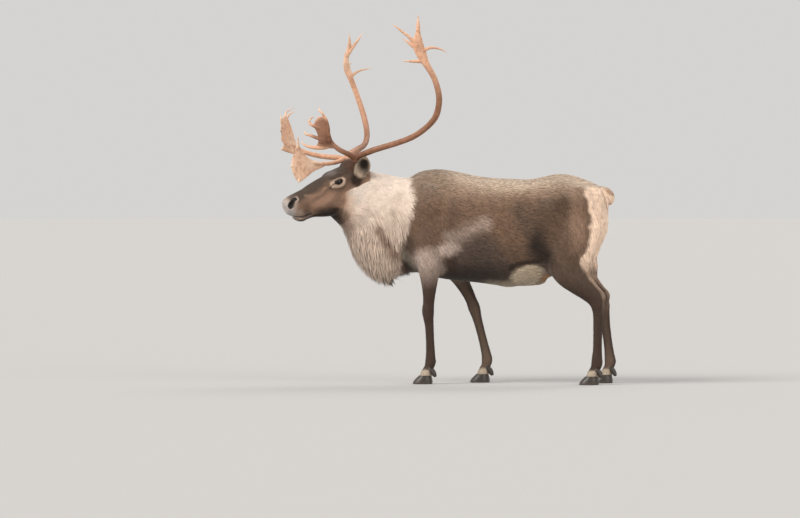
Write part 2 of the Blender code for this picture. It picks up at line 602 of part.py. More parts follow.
def head_loft(stations, sides):
    _, flank, _ = head_axes()
    rings = []
    for along, top, bottom, half, widest in curve_through(stations, 2):
        rings.append(section(in_head(along, 0, top), in_head(along, 0, bottom), flank * half, widest, sides))
    return mesh_of_rings(rings)


def head_meshes():
    axes = head_axes()
    meshes = [head_loft(SKULL, 26), head_loft(JAW, 20)]
    for hand in (1, -1):
        for (along, side, above), radii in (ORBIT, BROW, CHEEK, NOSTRIL_WING, CROWN):
            meshes.append(blob(in_head(along, hand * side, above), axes, radii))
        beam = LEFT_BEAM if hand > 0 else RIGHT_BEAM
        foot = from_poll(*beam[0][:3])
        axis = burr_axis(beam)
        meshes.append(tube([list(foot - axis * 0.070) + [0.036], list(foot - axis * 0.02) + [0.027],
                            list(foot + axis * 0.02) + [0.025]], 14))
        base, tip = ear_line(hand)
        along = (tip - base).normalized()
        meshes.append(tube([list(base - along * 0.035) + [0.034], list(base - along * 0.01) + [0.029],
                            list(base + along * 0.012) + [0.027]], 14))
    return meshes


def leg_mesh(stations):
    return mesh_of_rings(tube_rings(curve_through(stations, 2), 16, (1, 0, 0)))


def mirrored(stations, shifts):
    return [(x + shift, -y, z, deep, wide) for (x, y, z, deep, wide), shift in zip(stations, shifts)]


def hock_meshes(side, shift):
    x, y, z, size = HOCK_POINT
    top_x, top_y, top_z, top_size = TENDON_TOP
    cord = [(top_x + shift, side * top_y, top_z, top_size), (x + shift - 0.03, side * y, z + 0.038, size * 0.85),
            (x + shift, side * y, z, size), (x + shift + 0.001, side * y, z - 0.03, size * 0.75)]
    return [tube(cord, 10, (1, 0, 0))]


def dewclaws(foot):
    """The two small claws behind a foot's pastern."""
    x, y, _, _, _ = foot
    meshes = []
    for hand in (1, -1):
        rows = [(x + behind, y + hand * aside, height, size) for behind, aside, height, size in DEWCLAW]
        meshes.append(tube(rows, 7, (0, 1, 0), 1))
    return meshes


def body_meshes():
    hind_right = mirrored(HIND_LEFT, HIND_RIGHT_SHIFT)
    meshes = [torso_mesh(), neck_mesh()] + head_meshes()
    for leg in (FORE_LEFT, FORE_RIGHT, HIND_LEFT, hind_right):
        meshes.append(leg_mesh(leg))
    meshes += hock_meshes(1, 0.0) + hock_meshes(-1, -0.007)
    meshes.append(tube([(x, 0, z, size) for x, z, size in SHEATH], 12, (0, 1, 0)))
    return meshes


# Parting

def neck_plane():
    """Where the neck meets the shoulders."""
    return Vector((-0.222, 0, 0.85)), Vector((1, 0, 0.09)).normalized()


def head_plane():
    """Where the head meets the neck, behind the ears and the angle of the jaw."""
    forward, _ = facing()
    return from_poll(-0.095, 0, 1.15), (forward * 0.898 + Vector((0, 0, 0.44))).normalized()


LEG_BLOCKS = {
    "leg_front_left": (-0.215, 0.120, -0.012, -0.40, (0.560, 0.540, 0.690, 0.690)),
    "leg_front_right": (-0.215, 0.330, 0.012, 0.40, (0.560, 0.520, 0.690, 0.600)),
    "leg_hind_left": (0.500, 0.980, -0.010, -0.40, (0.530, 0.640, 0.640, 0.730)),
    "leg_hind_right": (0.500, 0.980, 0.010, 0.40, (0.530, 0.640, 0.640, 0.730)),
}


def part_body(whole, parts):
    legs = {name: wedge(*block, 0) for name, block in LEG_BLOCKS.items()}
    grown = [wedge(*block, GAP) for block in LEG_BLOCKS.values()]
    point, normal = neck_plane()
    throat, brow = head_plane()
    soles = half_space((0, 0, SOLE_TOP), (0, 0, -1), 0, 3.0)
    torso = copy_of(whole, "torso", parts)
    combine(torso, [half_space(point, -normal, 0)] + grown, "DIFFERENCE")
    neck = copy_of(whole, "neck", parts)
    combine(neck, [half_space(point, normal, -GAP), half_space(throat, brow, -GAP)], "DIFFERENCE")
    make_mane(neck)
    feet = {"leg_front_left": FORE_LEFT[-1], "leg_front_right": FORE_RIGHT[-1], "leg_hind_left": HIND_LEFT[-1],
            "leg_hind_right": mirrored(HIND_LEFT, HIND_RIGHT_SHIFT)[-1]}
    for name, block in legs.items():
        leg = copy_of(whole, name, parts)
        combine(leg, [block], "INTERSECT")
        combine(leg, [soles.copy()], "DIFFERENCE")
        combine(leg, dewclaws(feet[name]), "UNION")


# Mane

def mane_core(neck):
    """Draws the throat in so that the locks' tips reach the true outline; its cut ends stay where they are."""
    throat, brow = head_plane()
    point, normal = neck_plane()
    mesh = neck.data
    moves = []
    for vertex in mesh.vertices:
        ends = min((throat - vertex.co).dot(brow), (point - vertex.co).dot(normal))
        facing_down = max(0.0, vertex.normal.dot(Vector((-0.5, 0, -0.87))) + 0.35) / 1.35
        share = min(1.0, max(0.0, ends - 0.002) / 0.05) * min(1.0, facing_down * 2.2)
        moves.append(vertex.co - vertex.normal * MANE_CORE * share)
    for vertex, place in zip(mesh.vertices, moves):
        vertex.co = place
    mesh.update()


def lock_mesh(tree, root, draw):
    """A flat tapered lock that lies along the neck from its root and lifts towards its tip."""
    length = LOCK_LENGTH * draw.uniform(0.82, 1.12)
    width = LOCK_WIDTH * draw.uniform(0.82, 1.15)
    swing = draw.uniform(-0.22, 0.22)
    rings = []
    place = Vector(root)
    gone = 0.0
    for along, height, wide, thick in LOCK_STEPS:
        place, normal, _, _ = tree.find_nearest(place)
        flow = (MANE_FLOW - normal * MANE_FLOW.dot(normal)).normalized()
        flow = Matrix.Rotation(swing, 3, normal) @ flow
        place, normal, _, _ = tree.find_nearest(place + flow * (along - gone) * length)
        gone = along
        across = normal.cross(flow).normalized()
        middle = place + normal * height
        rings.append([middle + across * width * wide, middle + normal * LOCK_THICK * thick,
                      middle - across * width * wide, middle - normal * LOCK_THICK * thick])
    return mesh_of_rings(rings)


def mane_locks(neck):
    tree = BVHTree.FromPolygons([v.co for v in neck.data.vertices], [list(p.vertices) for p in neck.data.polygons])
    draw = random.Random(MANE_SEED)
    start, end = Vector(MANE_AXIS[0]), Vector(MANE_AXIS[1])
    meshes = []
    for row in range(MANE_ROWS):
        share = row / (MANE_ROWS - 1)
        middle = start.lerp(end, share)
        faces = Vector(MANE_FACES[0]).lerp(Vector(MANE_FACES[1]), share).normalized()
        for column in range(MANE_COLUMNS):
            across = (column + 0.5 * (row % 2) - MANE_COLUMNS / 2 + 0.25) / (MANE_COLUMNS / 2)
            angle = MANE_SPREAD * (across + draw.uniform(-0.04, 0.04))
            way = faces * math.cos(angle) + Vector((0, math.sin(angle), 0))
            hit = tree.ray_cast(middle + Vector((0, 0, draw.uniform(-0.012, 0.012))), way.normalized())[0]
            meshes.append(lock_mesh(tree, hit, draw))
    return meshes


def make_mane(neck):
    mane_core(neck)
    combine(neck, mane_locks(neck), "UNION", "MANIFOLD")
    throat, brow = head_plane()
    point, normal = neck_plane()
    combine(neck, [half_space(point, normal, -GAP), half_space(throat, brow, -GAP)], "DIFFERENCE", "MANIFOLD")


# Head details

def eye_centre(hand):
    along, side, above = EYE_PLACE
    return in_head(along, hand * side, above)


def make_head(parts):
    head = joined("head", head_meshes() + [neck_mesh()], parts)
    remeshed(head, HEAD_VOXEL, 6, HEAD_TRIANGLES)
    throat, brow = head_plane()
    axes = head_axes()
    lids = [blob(eye_centre(hand), axes, [EYE_RADIUS + LID] * 3, 14, 8) for hand in (1, -1)]
    combine(head, lids, "UNION")
    cuts = [half_space(throat, -brow, 0)]
    for hand in (1, -1):
        centre = eye_centre(hand)
        cuts.append(blob(centre, axes, [EYE_RADIUS + GAP] * 3, 14, 8))
        cuts.append(opening(centre, hand))
        cuts.append(tube([list(in_head(a, hand * s, b)) + [r] for a, s, b, r in NOSTRIL], 9, steps=2))
        beam = LEFT_BEAM if hand > 0 else RIGHT_BEAM
        axis = burr_axis(beam)
        foot = from_poll(*beam[0][:3])
        cuts.append(disc(foot, axis, 0.05, 0.05))
        base, tip = ear_line(hand)
        cuts.append(disc(base, tip - base, 0.045, 0.05))
    combine(head, cuts, "DIFFERENCE")
    combine(head, [mouth_slit()], "DIFFERENCE")


def opening(centre, hand):
    """The almond between the lids, slanting down to its front corner."""
    nose, flank, crown = head_axes()
    slant = math.radians(14)
    along = nose * math.cos(slant) - crown * math.sin(slant)
    above = crown * math.cos(slant) + nose * math.sin(slant)
    return blob(centre + flank * hand * 0.016 - above * 0.001, (along, flank, above), OPENING, 12, 6)


def mouth_slit():
    """A thin blade along the lips from one corner round the front to the other."""
    deep, half = MOUTH_SLIT
    _, _, crown = head_axes()
    right = [(a, -s, b) for a, s, b in MOUTH[:-1]]
    rows = [list(in_head(*p)) for p in MOUTH + right[::-1]]
    path = curve_through(rows, 2)
    rings = []
    for i, place in enumerate(path):
        ahead = Vector(path[min(i + 1, len(path) - 1)] - path[max(i - 1, 0)]).normalized()
        out = ahead.cross(crown).normalized()
        place = Vector(place)
        rings.append([place + out * deep, place + crown * half, place - out * deep, place - crown * half])
    return mesh_of_rings(rings)


def disc(centre, axis, radius, height):
    """A round block that starts on a plane and runs along the axis."""
    axis = Vector(axis).normalized()
    foot = [list(centre) + [radius], list(Vector(centre) + axis * height) + [radius]]
    return mesh_of_rings(tube_rings(foot, 20, (0.31, 0.9, 0.2)))


def make_eye(name, hand, parts):
    return add_object(name, blob(eye_centre(hand), head_axes(), [EYE_RADIUS] * 3, 14, 8), parts)


def ear_line(hand):
    ahead, side, height = EAR_BASE
    return from_poll(ahead, hand * side, height), from_poll(*EAR_TIPS[hand])


def make_ear(name, hand, parts):
    """A leaf-shaped cup: each ring is a crescent, its hollow side towards the opening."""
    forward, left = facing()
    base, tip = ear_line(hand)
    along = (tip - base).normalized()
    opening_way = forward * EAR_OPENING[0] + left * hand * EAR_OPENING[1] + Vector((0, 0, EAR_OPENING[2]))
    opening_way = (opening_way - along * opening_way.dot(along)).normalized()
    across = along.cross(opening_way)
    rings = []
    for share, half, back, hollow in EAR_RINGS:
        bend = 0.010 * math.sin(math.pi * share)
        middle = base + along * (GAP + EAR_LENGTH * share) - opening_way * bend
        ring = []
        for k in range(9):
            angle = math.pi * k / 8
            ring.append(middle + across * half * math.cos(angle) - opening_way * back * math.sin(angle))
        wall = min(EAR_WALL, half * 0.5, back * 0.5)
        for k in range(7):
            angle = math.pi - math.pi * (k + 0.5) / 7
            floor_at = (back - wall) * hollow - back * (1 - hollow)
            ring.append(middle + across * (half - wall) * math.cos(angle) - opening_way * floor_at * math.sin(angle))
        rings.append(ring)
    return add_object(name, mesh_of_rings(rings), parts)


# Antlers

def burr_axis(beam):
    start, next_point = from_poll(*beam[0][:3]), from_poll(*beam[1][:3])
    return ((next_point - start).normalized() + Vector((0, 0, 0.8))).normalized()


def burr(beam):
    """The knobbed ring at an antler's foot."""
    foot = from_poll(*beam[0][:3])
    axis = burr_axis(beam)
    radius, half = BURR
    rows = [list(foot + axis * GAP) + [radius * 0.86], list(foot + axis * half * 0.7) + [radius],
            list(foot + axis * half * 1.5) + [radius * 0.92], list(foot + axis * half * 2.4) + [radius * 0.66]]
    return mesh_of_rings(tube_rings(rows, 14, (0.3, 1, 0.2)))


def cut_tube(points, cuts, sides=9):
    """The lengths of a branch between its cuts, with the gap between their flat ends."""
    forward, _ = facing()
    rows = curve_through(antler_rows(points), 2)
    rings = tube_rings(rows, sides, forward, steady=True)
    lengths = []
    start = 0
    first = rings[0]
    for cut in (*cuts, len(rings) - 1):
        lengths.append(mesh_of_rings([first] + rings[start + 1:cut + 1]))
        if cut < len(rings) - 1:
            ahead = Vector(rows[cut + 1][:3] - rows[cut - 1][:3]).normalized()
            first = [p + ahead * GAP for p in rings[cut]]
        start = cut
    return lengths


def fused(name, meshes, parts):
    node = add_object(name, meshes[0], parts)
    if len(meshes) > 1:
        combine(node, meshes[1:], "UNION", "MANIFOLD")
    return node


def trim_foot(node, beam):
    """Cuts away what reaches below the plane of the antler's foot."""
    axis = burr_axis(beam)
    foot = from_poll(*beam[0][:3])
    combine(node, [disc(foot + axis * GAP, -axis, 0.032, 0.06)], "DIFFERENCE", "MANIFOLD")


def tines(rows_of_tines):
    return [tube(antler_rows(rows), 6, steps=1) for rows in rows_of_tines]


def make_left_antler(parts):
    foot, beam, crown = cut_tube(LEFT_BEAM, LEFT_BEAM_CUTS)
    stub, bez = cut_tube(LEFT_BEZ, [LEFT_BEZ_CUT])
    base = fused("antler_left_base", [foot, stub, burr(LEFT_BEAM)], parts)
    trim_foot(base, LEFT_BEAM)
    fused("antler_left_beam", [beam], parts)
    fused("antler_left_crown", [crown] + tines(LEFT_CROWN_TINES), parts)
    web = palm(palm_edges(LEFT_PALM), PALM_THICK)
    fused("antler_left_bez", [bez, web] + tines(LEFT_BEZ_TINES), parts)


def make_right_antler(parts):
    foot, beam, crown = cut_tube(RIGHT_BEAM, RIGHT_BEAM_CUTS)
    stub, bez = cut_tube(RIGHT_BEZ, [RIGHT_BEZ_CUT])
    brow_stub, brow = cut_tube(RIGHT_BROW, [BROW_CUT])
    base = fused("antler_right_base", [foot, stub, brow_stub, burr(RIGHT_BEAM)], parts)
    trim_foot(base, RIGHT_BEAM)
    fused("antler_right_beam", [beam], parts)
    fused("antler_right_crown", [crown] + tines(RIGHT_CROWN_TINES), parts)
    web = palm(palm_edges(RIGHT_PALM), PALM_THICK)
    fused("antler_right_bez", [bez, web] + tines(RIGHT_BEZ_TINES), parts)
    blade = palm(palm_edges(SHOVEL), PALM_THICK)
    fused("antler_right_brow", [brow, blade] + tines(SHOVEL_TINES), parts)


# Hooves and tail

def claw_mesh(x, y, hand, flare):
    """One half of a hoof: a flat sole, a bowed outer wall and a straighter inner wall."""
    rings = []
    for height, toe, heel, wide in CLAW_RINGS:
        middle, half = (toe + heel) / 2, (heel - toe) / 2
        ring = []
        for k in range(12):
            angle = 2 * math.pi * k / 12
            ahead = middle + half * math.cos(angle)
            out = math.sin(angle)
            bow = CLAW_WIDTH * wide * (0.90 * abs(out) ** 0.8 if out > 0 else 0.10 * abs(out))
            across = 0.0035 + CLAW_WIDTH * 0.10 + math.copysign(bow, out)
            slew = -flare * (ahead - heel)
            ring.append((x + ahead, y + hand * (across + slew), height))
        rings.append(ring)
    return mesh_of_rings(rings)


def make_hooves(parts):
    feet = {"front_left": FORE_LEFT[-1], "front_right": FORE_RIGHT[-1], "hind_left": HIND_LEFT[-1],
            "hind_right": mirrored(HIND_LEFT, HIND_RIGHT_SHIFT)[-1]}
    for foot, (x, y, _, _, _) in feet.items():
        for place, hand in (("outer", math.copysign(1, y)), ("inner", -math.copysign(1, y))):
            add_object(f"hoof_{foot}_{place}", claw_mesh(x, y, hand, 0.06), parts)


def make_tail(torso, parts):
    rows = [(x, 0, z, wide, thick) for x, z, wide, thick in TAIL]
    tail = add_object("tail", tube(rows, 12, (0, 1, 0)), parts)
    swollen = copy_of(torso, "swollen", parts)
    swell = swollen.modifiers.new("swell", "DISPLACE")
    swell.mid_level = 0
    swell.strength = GAP
    apply_modifiers(swollen)
    cutter = swollen.data
    bpy.data.objects.remove(swollen)
    combine(tail, [cutter], "DIFFERENCE")


def centre_on_floor(parts):
    """Moves every node so that the whole stands on Z = 0, centred in X and Y."""
    low = Vector((1e9, 1e9, 1e9))
    high = -low
    for obj in parts.objects:
        for vertex in obj.data.vertices:
            low = Vector(map(min, low, vertex.co))
            high = Vector(map(max, high, vertex.co))
    shift = Vector((-(low.x + high.x) / 2, -(low.y + high.y) / 2, -low.z))
    for obj in parts.objects:
        obj.data.transform(Matrix.Translation(shift))


def dress(parts):
    looks = {"antler": "antler_bone", "hoof": "hoof_horn", "eye": "eye_wet", "neck": "hide_cream",
             "head": "hide_dark", "leg": "hide_dark", "ear": "hide_dark", "torso": "hide_brown",
             "tail": "hide_brown"}
    for obj in parts.objects:
        obj.data.materials.clear()
        obj.data.materials.append(material(looks[obj.name.split("_")[0]]))
        if obj.name.startswith(("antler", "eye")):
            obj.data.shade_smooth()


def main():
    clear_scene()
    parts = make_collection("caribou_bull")
    whole = joined("whole", body_meshes(), parts)
    remeshed(whole, BODY_VOXEL, 14, BODY_TRIANGLES)
    part_body(whole, parts)
    bpy.data.objects.remove(whole)
    make_head(parts)
    for name, hand in (("left", 1), ("right", -1)):
        make_eye(f"eye_{name}", hand, parts)
        make_ear(f"ear_{name}", hand, parts)
    make_left_antler(parts)
    make_right_antler(parts)
    make_hooves(parts)
    make_tail(parts.objects["torso"], parts)
    centre_on_floor(parts)
    dress(parts)


main()
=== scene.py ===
# A caribou bull, life size: skin, coat, antlers, eyes, hooves, studio and camera.
# Sizes are in metres in the maker's frame: the bull faces -X, its left side is -Y, and Z = 0 is the floor.
import math
import time

import bmesh
import bpy
import numpy as np
from mathutils import Matrix, Vector
from mathutils.bvhtree import BVHTree
from mathutils.kdtree import KDTree


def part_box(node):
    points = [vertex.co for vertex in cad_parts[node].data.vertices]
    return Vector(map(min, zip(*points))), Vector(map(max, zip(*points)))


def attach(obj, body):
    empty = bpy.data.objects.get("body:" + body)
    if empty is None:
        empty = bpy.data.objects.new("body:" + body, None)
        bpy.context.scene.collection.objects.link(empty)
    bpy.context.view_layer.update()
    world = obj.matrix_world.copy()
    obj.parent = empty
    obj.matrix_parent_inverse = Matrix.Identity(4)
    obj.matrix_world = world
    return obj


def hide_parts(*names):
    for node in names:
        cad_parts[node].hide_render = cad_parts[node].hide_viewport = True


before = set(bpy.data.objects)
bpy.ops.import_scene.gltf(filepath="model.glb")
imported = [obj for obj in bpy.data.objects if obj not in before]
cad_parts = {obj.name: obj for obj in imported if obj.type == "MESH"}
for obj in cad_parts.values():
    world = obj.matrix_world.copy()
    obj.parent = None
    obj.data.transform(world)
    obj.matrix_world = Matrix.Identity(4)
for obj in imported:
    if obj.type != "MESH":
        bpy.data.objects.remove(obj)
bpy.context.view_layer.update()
startTime = time.time()


def report(words):
    print(f"{time.time() - startTime:5.1f} s  {words}")


# the head: where it sits and how it is turned
headPose = {
    "origin": Vector((-0.516, -0.045, 1.12)),
    "yaw": math.radians(32),
    "pitch": math.radians(25),
    "roll": math.radians(5),
    "eyeRadius": 0.0185,
    "eyePlace": (0.108, 0.0675, 0.018),  # along the nose, aside, above
    "eyeShift": (-0.0045, 0.0035),  # the dressed eye sits this much further back and higher in its socket
}


def facing():
    yaw = headPose["yaw"]
    return Vector((-math.cos(yaw), -math.sin(yaw), 0)), Vector((math.sin(yaw), -math.cos(yaw), 0))


def headAxes():
    ahead, left = facing()
    up = Vector((0, 0, 1))
    pitch, roll = headPose["pitch"], headPose["roll"]
    nose = ahead * math.cos(pitch) - up * math.sin(pitch)
    crown = ahead * math.sin(pitch) + up * math.cos(pitch)
    return nose, left * math.cos(roll) - crown * math.sin(roll), crown * math.cos(roll) + left * math.sin(roll)


noseAxis, flankAxis, crownAxis = headAxes()


def inHead(along, side, above):
    return headPose["origin"] + noseAxis * along + flankAxis * side + crownAxis * above


def fromPoll(forward, side, height):
    ahead, left = facing()
    place = headPose["origin"] + ahead * forward + left * side
    place.z = height
    return place


def eyeCentre(hand):
    along, side, above = headPose["eyePlace"]
    back, rise = headPose["eyeShift"]
    return inHead(along + back, hand * side, above + rise)


eyeLow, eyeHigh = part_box("eye_left")
# from the maker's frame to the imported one
toRow = (Vector(eyeLow) + Vector(eyeHigh)) / 2 - inHead(*headPose["eyePlace"])


# antlers: forward of the poll, to the left, the height, then a radius or two half widths
leftBeam = [(0, 0.058, 1.196, 0.02), (-0.006, 0.068, 1.214, 0.0185), (-0.033, 0.088, 1.234, 0.017),
            (-0.09, 0.132, 1.261, 0.0165), (-0.172, 0.21, 1.293, 0.016), (-0.23, 0.28, 1.323, 0.016),
            (-0.268, 0.34, 1.358, 0.016), (-0.3, 0.395, 1.404, 0.0165), (-0.317, 0.432, 1.45, 0.017),
            (-0.321, 0.455, 1.512, 0.0165), (-0.313, 0.465, 1.57, 0.0165), (-0.289, 0.466, 1.642, 0.016),
            (-0.258, 0.462, 1.696, 0.017), (-0.236, 0.457, 1.735, 0.023, 0.012),
            (-0.218, 0.452, 1.775, 0.031, 0.0095), (-0.203, 0.448, 1.815, 0.033, 0.0085),
            (-0.201, 0.445, 1.85, 0.027, 0.0085), (-0.204, 0.44, 1.885, 0.015, 0.0085),
            (-0.208, 0.434, 1.93, 0.01, 0.008), (-0.212, 0.422, 1.99, 0.0014)]
leftCrownTines = [
    [(-0.196, 0.446, 1.815, 0.012), (-0.155, 0.435, 1.863, 0.0095), (-0.109, 0.42, 1.901, 0.0065),
     (-0.064, 0.4, 1.939, 0.0014)],
    [(-0.196, 0.446, 1.795, 0.011), (-0.153, 0.43, 1.834, 0.0075), (-0.126, 0.402, 1.86, 0.0014)],
    [(-0.222, 0.45, 1.785, 0.011), (-0.258, 0.455, 1.804, 0.0085), (-0.292, 0.46, 1.807, 0.007),
     (-0.331, 0.465, 1.798, 0.005), (-0.364, 0.47, 1.779, 0.0014)],
    [(-0.226, 0.456, 1.735, 0.012), (-0.171, 0.44, 1.734, 0.0075), (-0.109, 0.42, 1.736, 0.0014)],
]
leftBez = [(-0.004, 0.064, 1.205, 0.0165), (0.018, 0.078, 1.222, 0.016), (0.056, 0.1, 1.238, 0.0145),
           (0.111, 0.13, 1.256, 0.014), (0.16, 0.16, 1.28, 0.0135), (0.195, 0.185, 1.307, 0.012),
           (0.213, 0.2, 1.345, 0.01), (0.218, 0.205, 1.384, 0.0085), (0.23, 0.205, 1.423, 0.0075),
           (0.249, 0.2, 1.453, 0.0065), (0.264, 0.19, 1.474, 0.005), (0.26, 0.18, 1.494, 0.0014)]
leftPalm = [((0.15, 0.155, 1.272), (0.16, 0.148, 1.268)), ((0.188, 0.178, 1.29), (0.244, 0.116, 1.276)),
            ((0.204, 0.192, 1.32), (0.25, 0.142, 1.306)), ((0.214, 0.2, 1.35), (0.258, 0.146, 1.348)),
            ((0.219, 0.2, 1.385), (0.272, 0.138, 1.384)), ((0.228, 0.198, 1.415), (0.272, 0.145, 1.411)),
            ((0.243, 0.196, 1.44), (0.264, 0.168, 1.436))]
leftBezTines = [
    [(0.23, 0.178, 1.37, 0.007), (0.256, 0.155, 1.38, 0.0095), (0.286, 0.12, 1.399, 0.008),
     (0.286, 0.115, 1.423, 0.0062), (0.264, 0.12, 1.44, 0.003)],
    [(0.215, 0.178, 1.312, 0.007), (0.248, 0.143, 1.322, 0.0105), (0.285, 0.11, 1.339, 0.008),
     (0.307, 0.1, 1.346, 0.0058), (0.312, 0.1, 1.362, 0.003)],
    [(0.19, 0.152, 1.276, 0.008), (0.223, 0.13, 1.272, 0.012), (0.269, 0.1, 1.274, 0.0098),
     (0.302, 0.08, 1.286, 0.0065), (0.318, 0.075, 1.306, 0.0026)],
]
rightBeam = [(0, -0.058, 1.192, 0.0205), (-0.008, -0.07, 1.21, 0.02), (-0.05, -0.102, 1.238, 0.0195),
             (-0.119, -0.162, 1.262, 0.0175), (-0.19, -0.242, 1.286, 0.0155), (-0.234, -0.31, 1.323, 0.0155),
             (-0.26, -0.37, 1.366, 0.0155), (-0.27, -0.412, 1.409, 0.016), (-0.267, -0.44, 1.463, 0.0155),
             (-0.25, -0.455, 1.528, 0.015), (-0.225, -0.46, 1.598, 0.015), (-0.203, -0.46, 1.65, 0.016),
             (-0.183, -0.456, 1.694, 0.02, 0.011), (-0.173, -0.45, 1.733, 0.017, 0.011),
             (-0.174, -0.445, 1.771, 0.015, 0.01), (-0.187, -0.441, 1.804, 0.016, 0.0085),
             (-0.186, -0.434, 1.85, 0.008, 0.007), (-0.178, -0.42, 1.903, 0.0014)]
rightCrownTines = [
    [(-0.184, -0.442, 1.785, 0.011), (-0.206, -0.437, 1.818, 0.009), (-0.236, -0.433, 1.857, 0.0065),
     (-0.265, -0.43, 1.902, 0.0014)],
    [(-0.205, -0.458, 1.66, 0.011), (-0.232, -0.462, 1.677, 0.008), (-0.262, -0.466, 1.691, 0.006),
     (-0.298, -0.47, 1.699, 0.0045), (-0.339, -0.472, 1.706, 0.0014)],
    [(-0.176, -0.452, 1.708, 0.008), (-0.194, -0.45, 1.725, 0.0045), (-0.21, -0.449, 1.735, 0.0014)],
]
rightBez = [(-0.004, -0.064, 1.203, 0.0165), (0.031, -0.088, 1.216, 0.015), (0.079, -0.115, 1.22, 0.014),
            (0.127, -0.14, 1.227, 0.0135), (0.175, -0.163, 1.24, 0.013), (0.212, -0.18, 1.256, 0.012),
            (0.245, -0.18, 1.275, 0.0085), (0.27, -0.178, 1.3, 0.006)]
rightPalm = [((0.17, -0.166, 1.234), (0.18, -0.158, 1.246)), ((0.222, -0.19, 1.236), (0.262, -0.16, 1.24)),
             ((0.232, -0.195, 1.258), (0.35, -0.122, 1.258)), ((0.232, -0.197, 1.288), (0.336, -0.128, 1.289)),
             ((0.236, -0.2, 1.312), (0.354, -0.12, 1.312)), ((0.25, -0.2, 1.355), (0.355, -0.12, 1.358)),
             ((0.268, -0.195, 1.398), (0.358, -0.12, 1.402)), ((0.286, -0.186, 1.428), (0.342, -0.132, 1.43)),
             ((0.304, -0.172, 1.441), (0.326, -0.152, 1.442))]
rightBezTines = [
    [(0.294, -0.182, 1.412, 0.0055), (0.287, -0.19, 1.434, 0.006), (0.268, -0.192, 1.455, 0.0045),
     (0.235, -0.195, 1.471, 0.0014)],
    [(0.318, -0.156, 1.418, 0.0055), (0.312, -0.165, 1.44, 0.0065), (0.296, -0.172, 1.466, 0.0045),
     (0.24, -0.185, 1.491, 0.0014)],
    [(0.344, -0.13, 1.402, 0.0052), (0.352, -0.128, 1.424, 0.0055), (0.352, -0.13, 1.452, 0.0014)],
    [(0.342, -0.129, 1.359, 0.0052), (0.356, -0.116, 1.362, 0.006), (0.366, -0.098, 1.374, 0.0014)],
    [(0.335, -0.132, 1.265, 0.0052), (0.35, -0.118, 1.262, 0.006), (0.362, -0.1, 1.256, 0.0014)],
]
rightBrow = [(-0.002, -0.062, 1.205, 0.015), (0.022, -0.053, 1.204, 0.014), (0.058, -0.042, 1.194, 0.0125),
             (0.105, -0.03, 1.186, 0.0115), (0.15, -0.02, 1.184, 0.011), (0.195, -0.01, 1.186, 0.0095),
             (0.232, -0.004, 1.196, 0.0075)]
shovel = [((0.14, -0.022, 1.19), (0.14, -0.022, 1.17)), ((0.175, -0.014, 1.196), (0.175, -0.014, 1.156)),
          ((0.21, -0.008, 1.204), (0.21, -0.008, 1.142)), ((0.24, -0.003, 1.216), (0.24, -0.003, 1.122)),
          ((0.265, 0, 1.236), (0.265, 0, 1.103)), ((0.286, 0, 1.266), (0.286, 0, 1.088)),
          ((0.304, 0, 1.29), (0.304, 0, 1.087)), ((0.32, 0, 1.275), (0.32, 0, 1.098)),
          ((0.334, 0, 1.235), (0.334, 0, 1.128)), ((0.345, 0, 1.195), (0.345, 0, 1.152))]
shovelTines = [
    [(0.303, 0, 1.275, 0.0055), (0.306, 0, 1.3, 0.0065), (0.308, 0.002, 1.337, 0.0014)],
    [(0.322, 0, 1.243, 0.0052), (0.334, 0.002, 1.254, 0.0055), (0.343, 0.006, 1.274, 0.0014)],
    [(0.332, 0, 1.172, 0.0052), (0.343, 0.002, 1.172, 0.006), (0.358, 0.005, 1.17, 0.0014)],
    [(0.299, 0, 1.104, 0.0052), (0.302, 0.003, 1.092, 0.006), (0.306, 0.007, 1.078, 0.0014)],
]


def burrFoot(hand):
    beam = leftBeam if hand > 0 else rightBeam
    foot, second = fromPoll(*beam[0][:3]), fromPoll(*beam[1][:3])
    return foot, ((second - foot).normalized() + Vector((0, 0, 0.8))).normalized()


# shapes: every shell is a pair of arrays, its points and its faces
def curveThrough(points, steps):
    rows = np.array(points, float)
    rows = np.vstack([2 * rows[0] - rows[1], rows, 2 * rows[-1] - rows[-2]])
    made = []
    for i in range(1, len(rows) - 2):
        a, b, c, d = rows[i - 1:i + 3]
        for s in range(steps):
            t = s / steps
            made.append(0.5 * (2 * b + (c - a) * t + (2 * a - 5 * b + 4 * c - d) * t ** 2
                               + (3 * b - a - 3 * c + d) * t ** 3))
    made.append(rows[-2])
    return np.array(made)


def turns(count):
    return [2 * math.pi * k / count for k in range(count)]


def stepAt(path, i):
    return path[min(i + 1, len(path) - 1)] - path[max(i - 1, 0)]


def ovalRing(top, bottom, side, widest, count):
    middle = bottom + (top - bottom) * widest
    ring = []
    for angle in turns(count):
        up = math.cos(angle)
        reach = (top - middle) if up > 0 else (middle - bottom)
        across = math.copysign(abs(math.sin(angle)) ** 0.88, math.sin(angle))
        ring.append(middle + reach * up + side * across)
    return ring


def loft(rings, closed=False):  # faces from ring to ring, and a cap at each end or round to the first again
    count = len(rings[0])
    points = np.array([tuple(p) for ring in rings for p in ring])
    faces = []
    for r in range(len(rings) - (not closed)):
        low, high = r * count, (r + 1) % len(rings) * count
        faces += [(low + k, low + (k + 1) % count, high + (k + 1) % count, high + k) for k in range(count)]
    if not closed:
        faces += [tuple(range(count))[::-1], tuple(range(len(points) - count, len(points)))]
    return points, faces


def tubeRings(points, sides, hint, steady=False):
    path = [Vector(p[:3]) for p in points]
    rings = []
    across = Vector(hint)
    for i, place in enumerate(path):
        ahead = stepAt(path, i).normalized()
        across = Vector(hint) if steady else across
        across = (across - ahead * across.dot(ahead)).normalized()
        other = ahead.cross(across)
        wide, thick = points[i][3], points[i][-1]
        rings.append([place + across * wide * math.cos(a) + other * thick * math.sin(a)
                      for a in turns(sides)])
    return rings


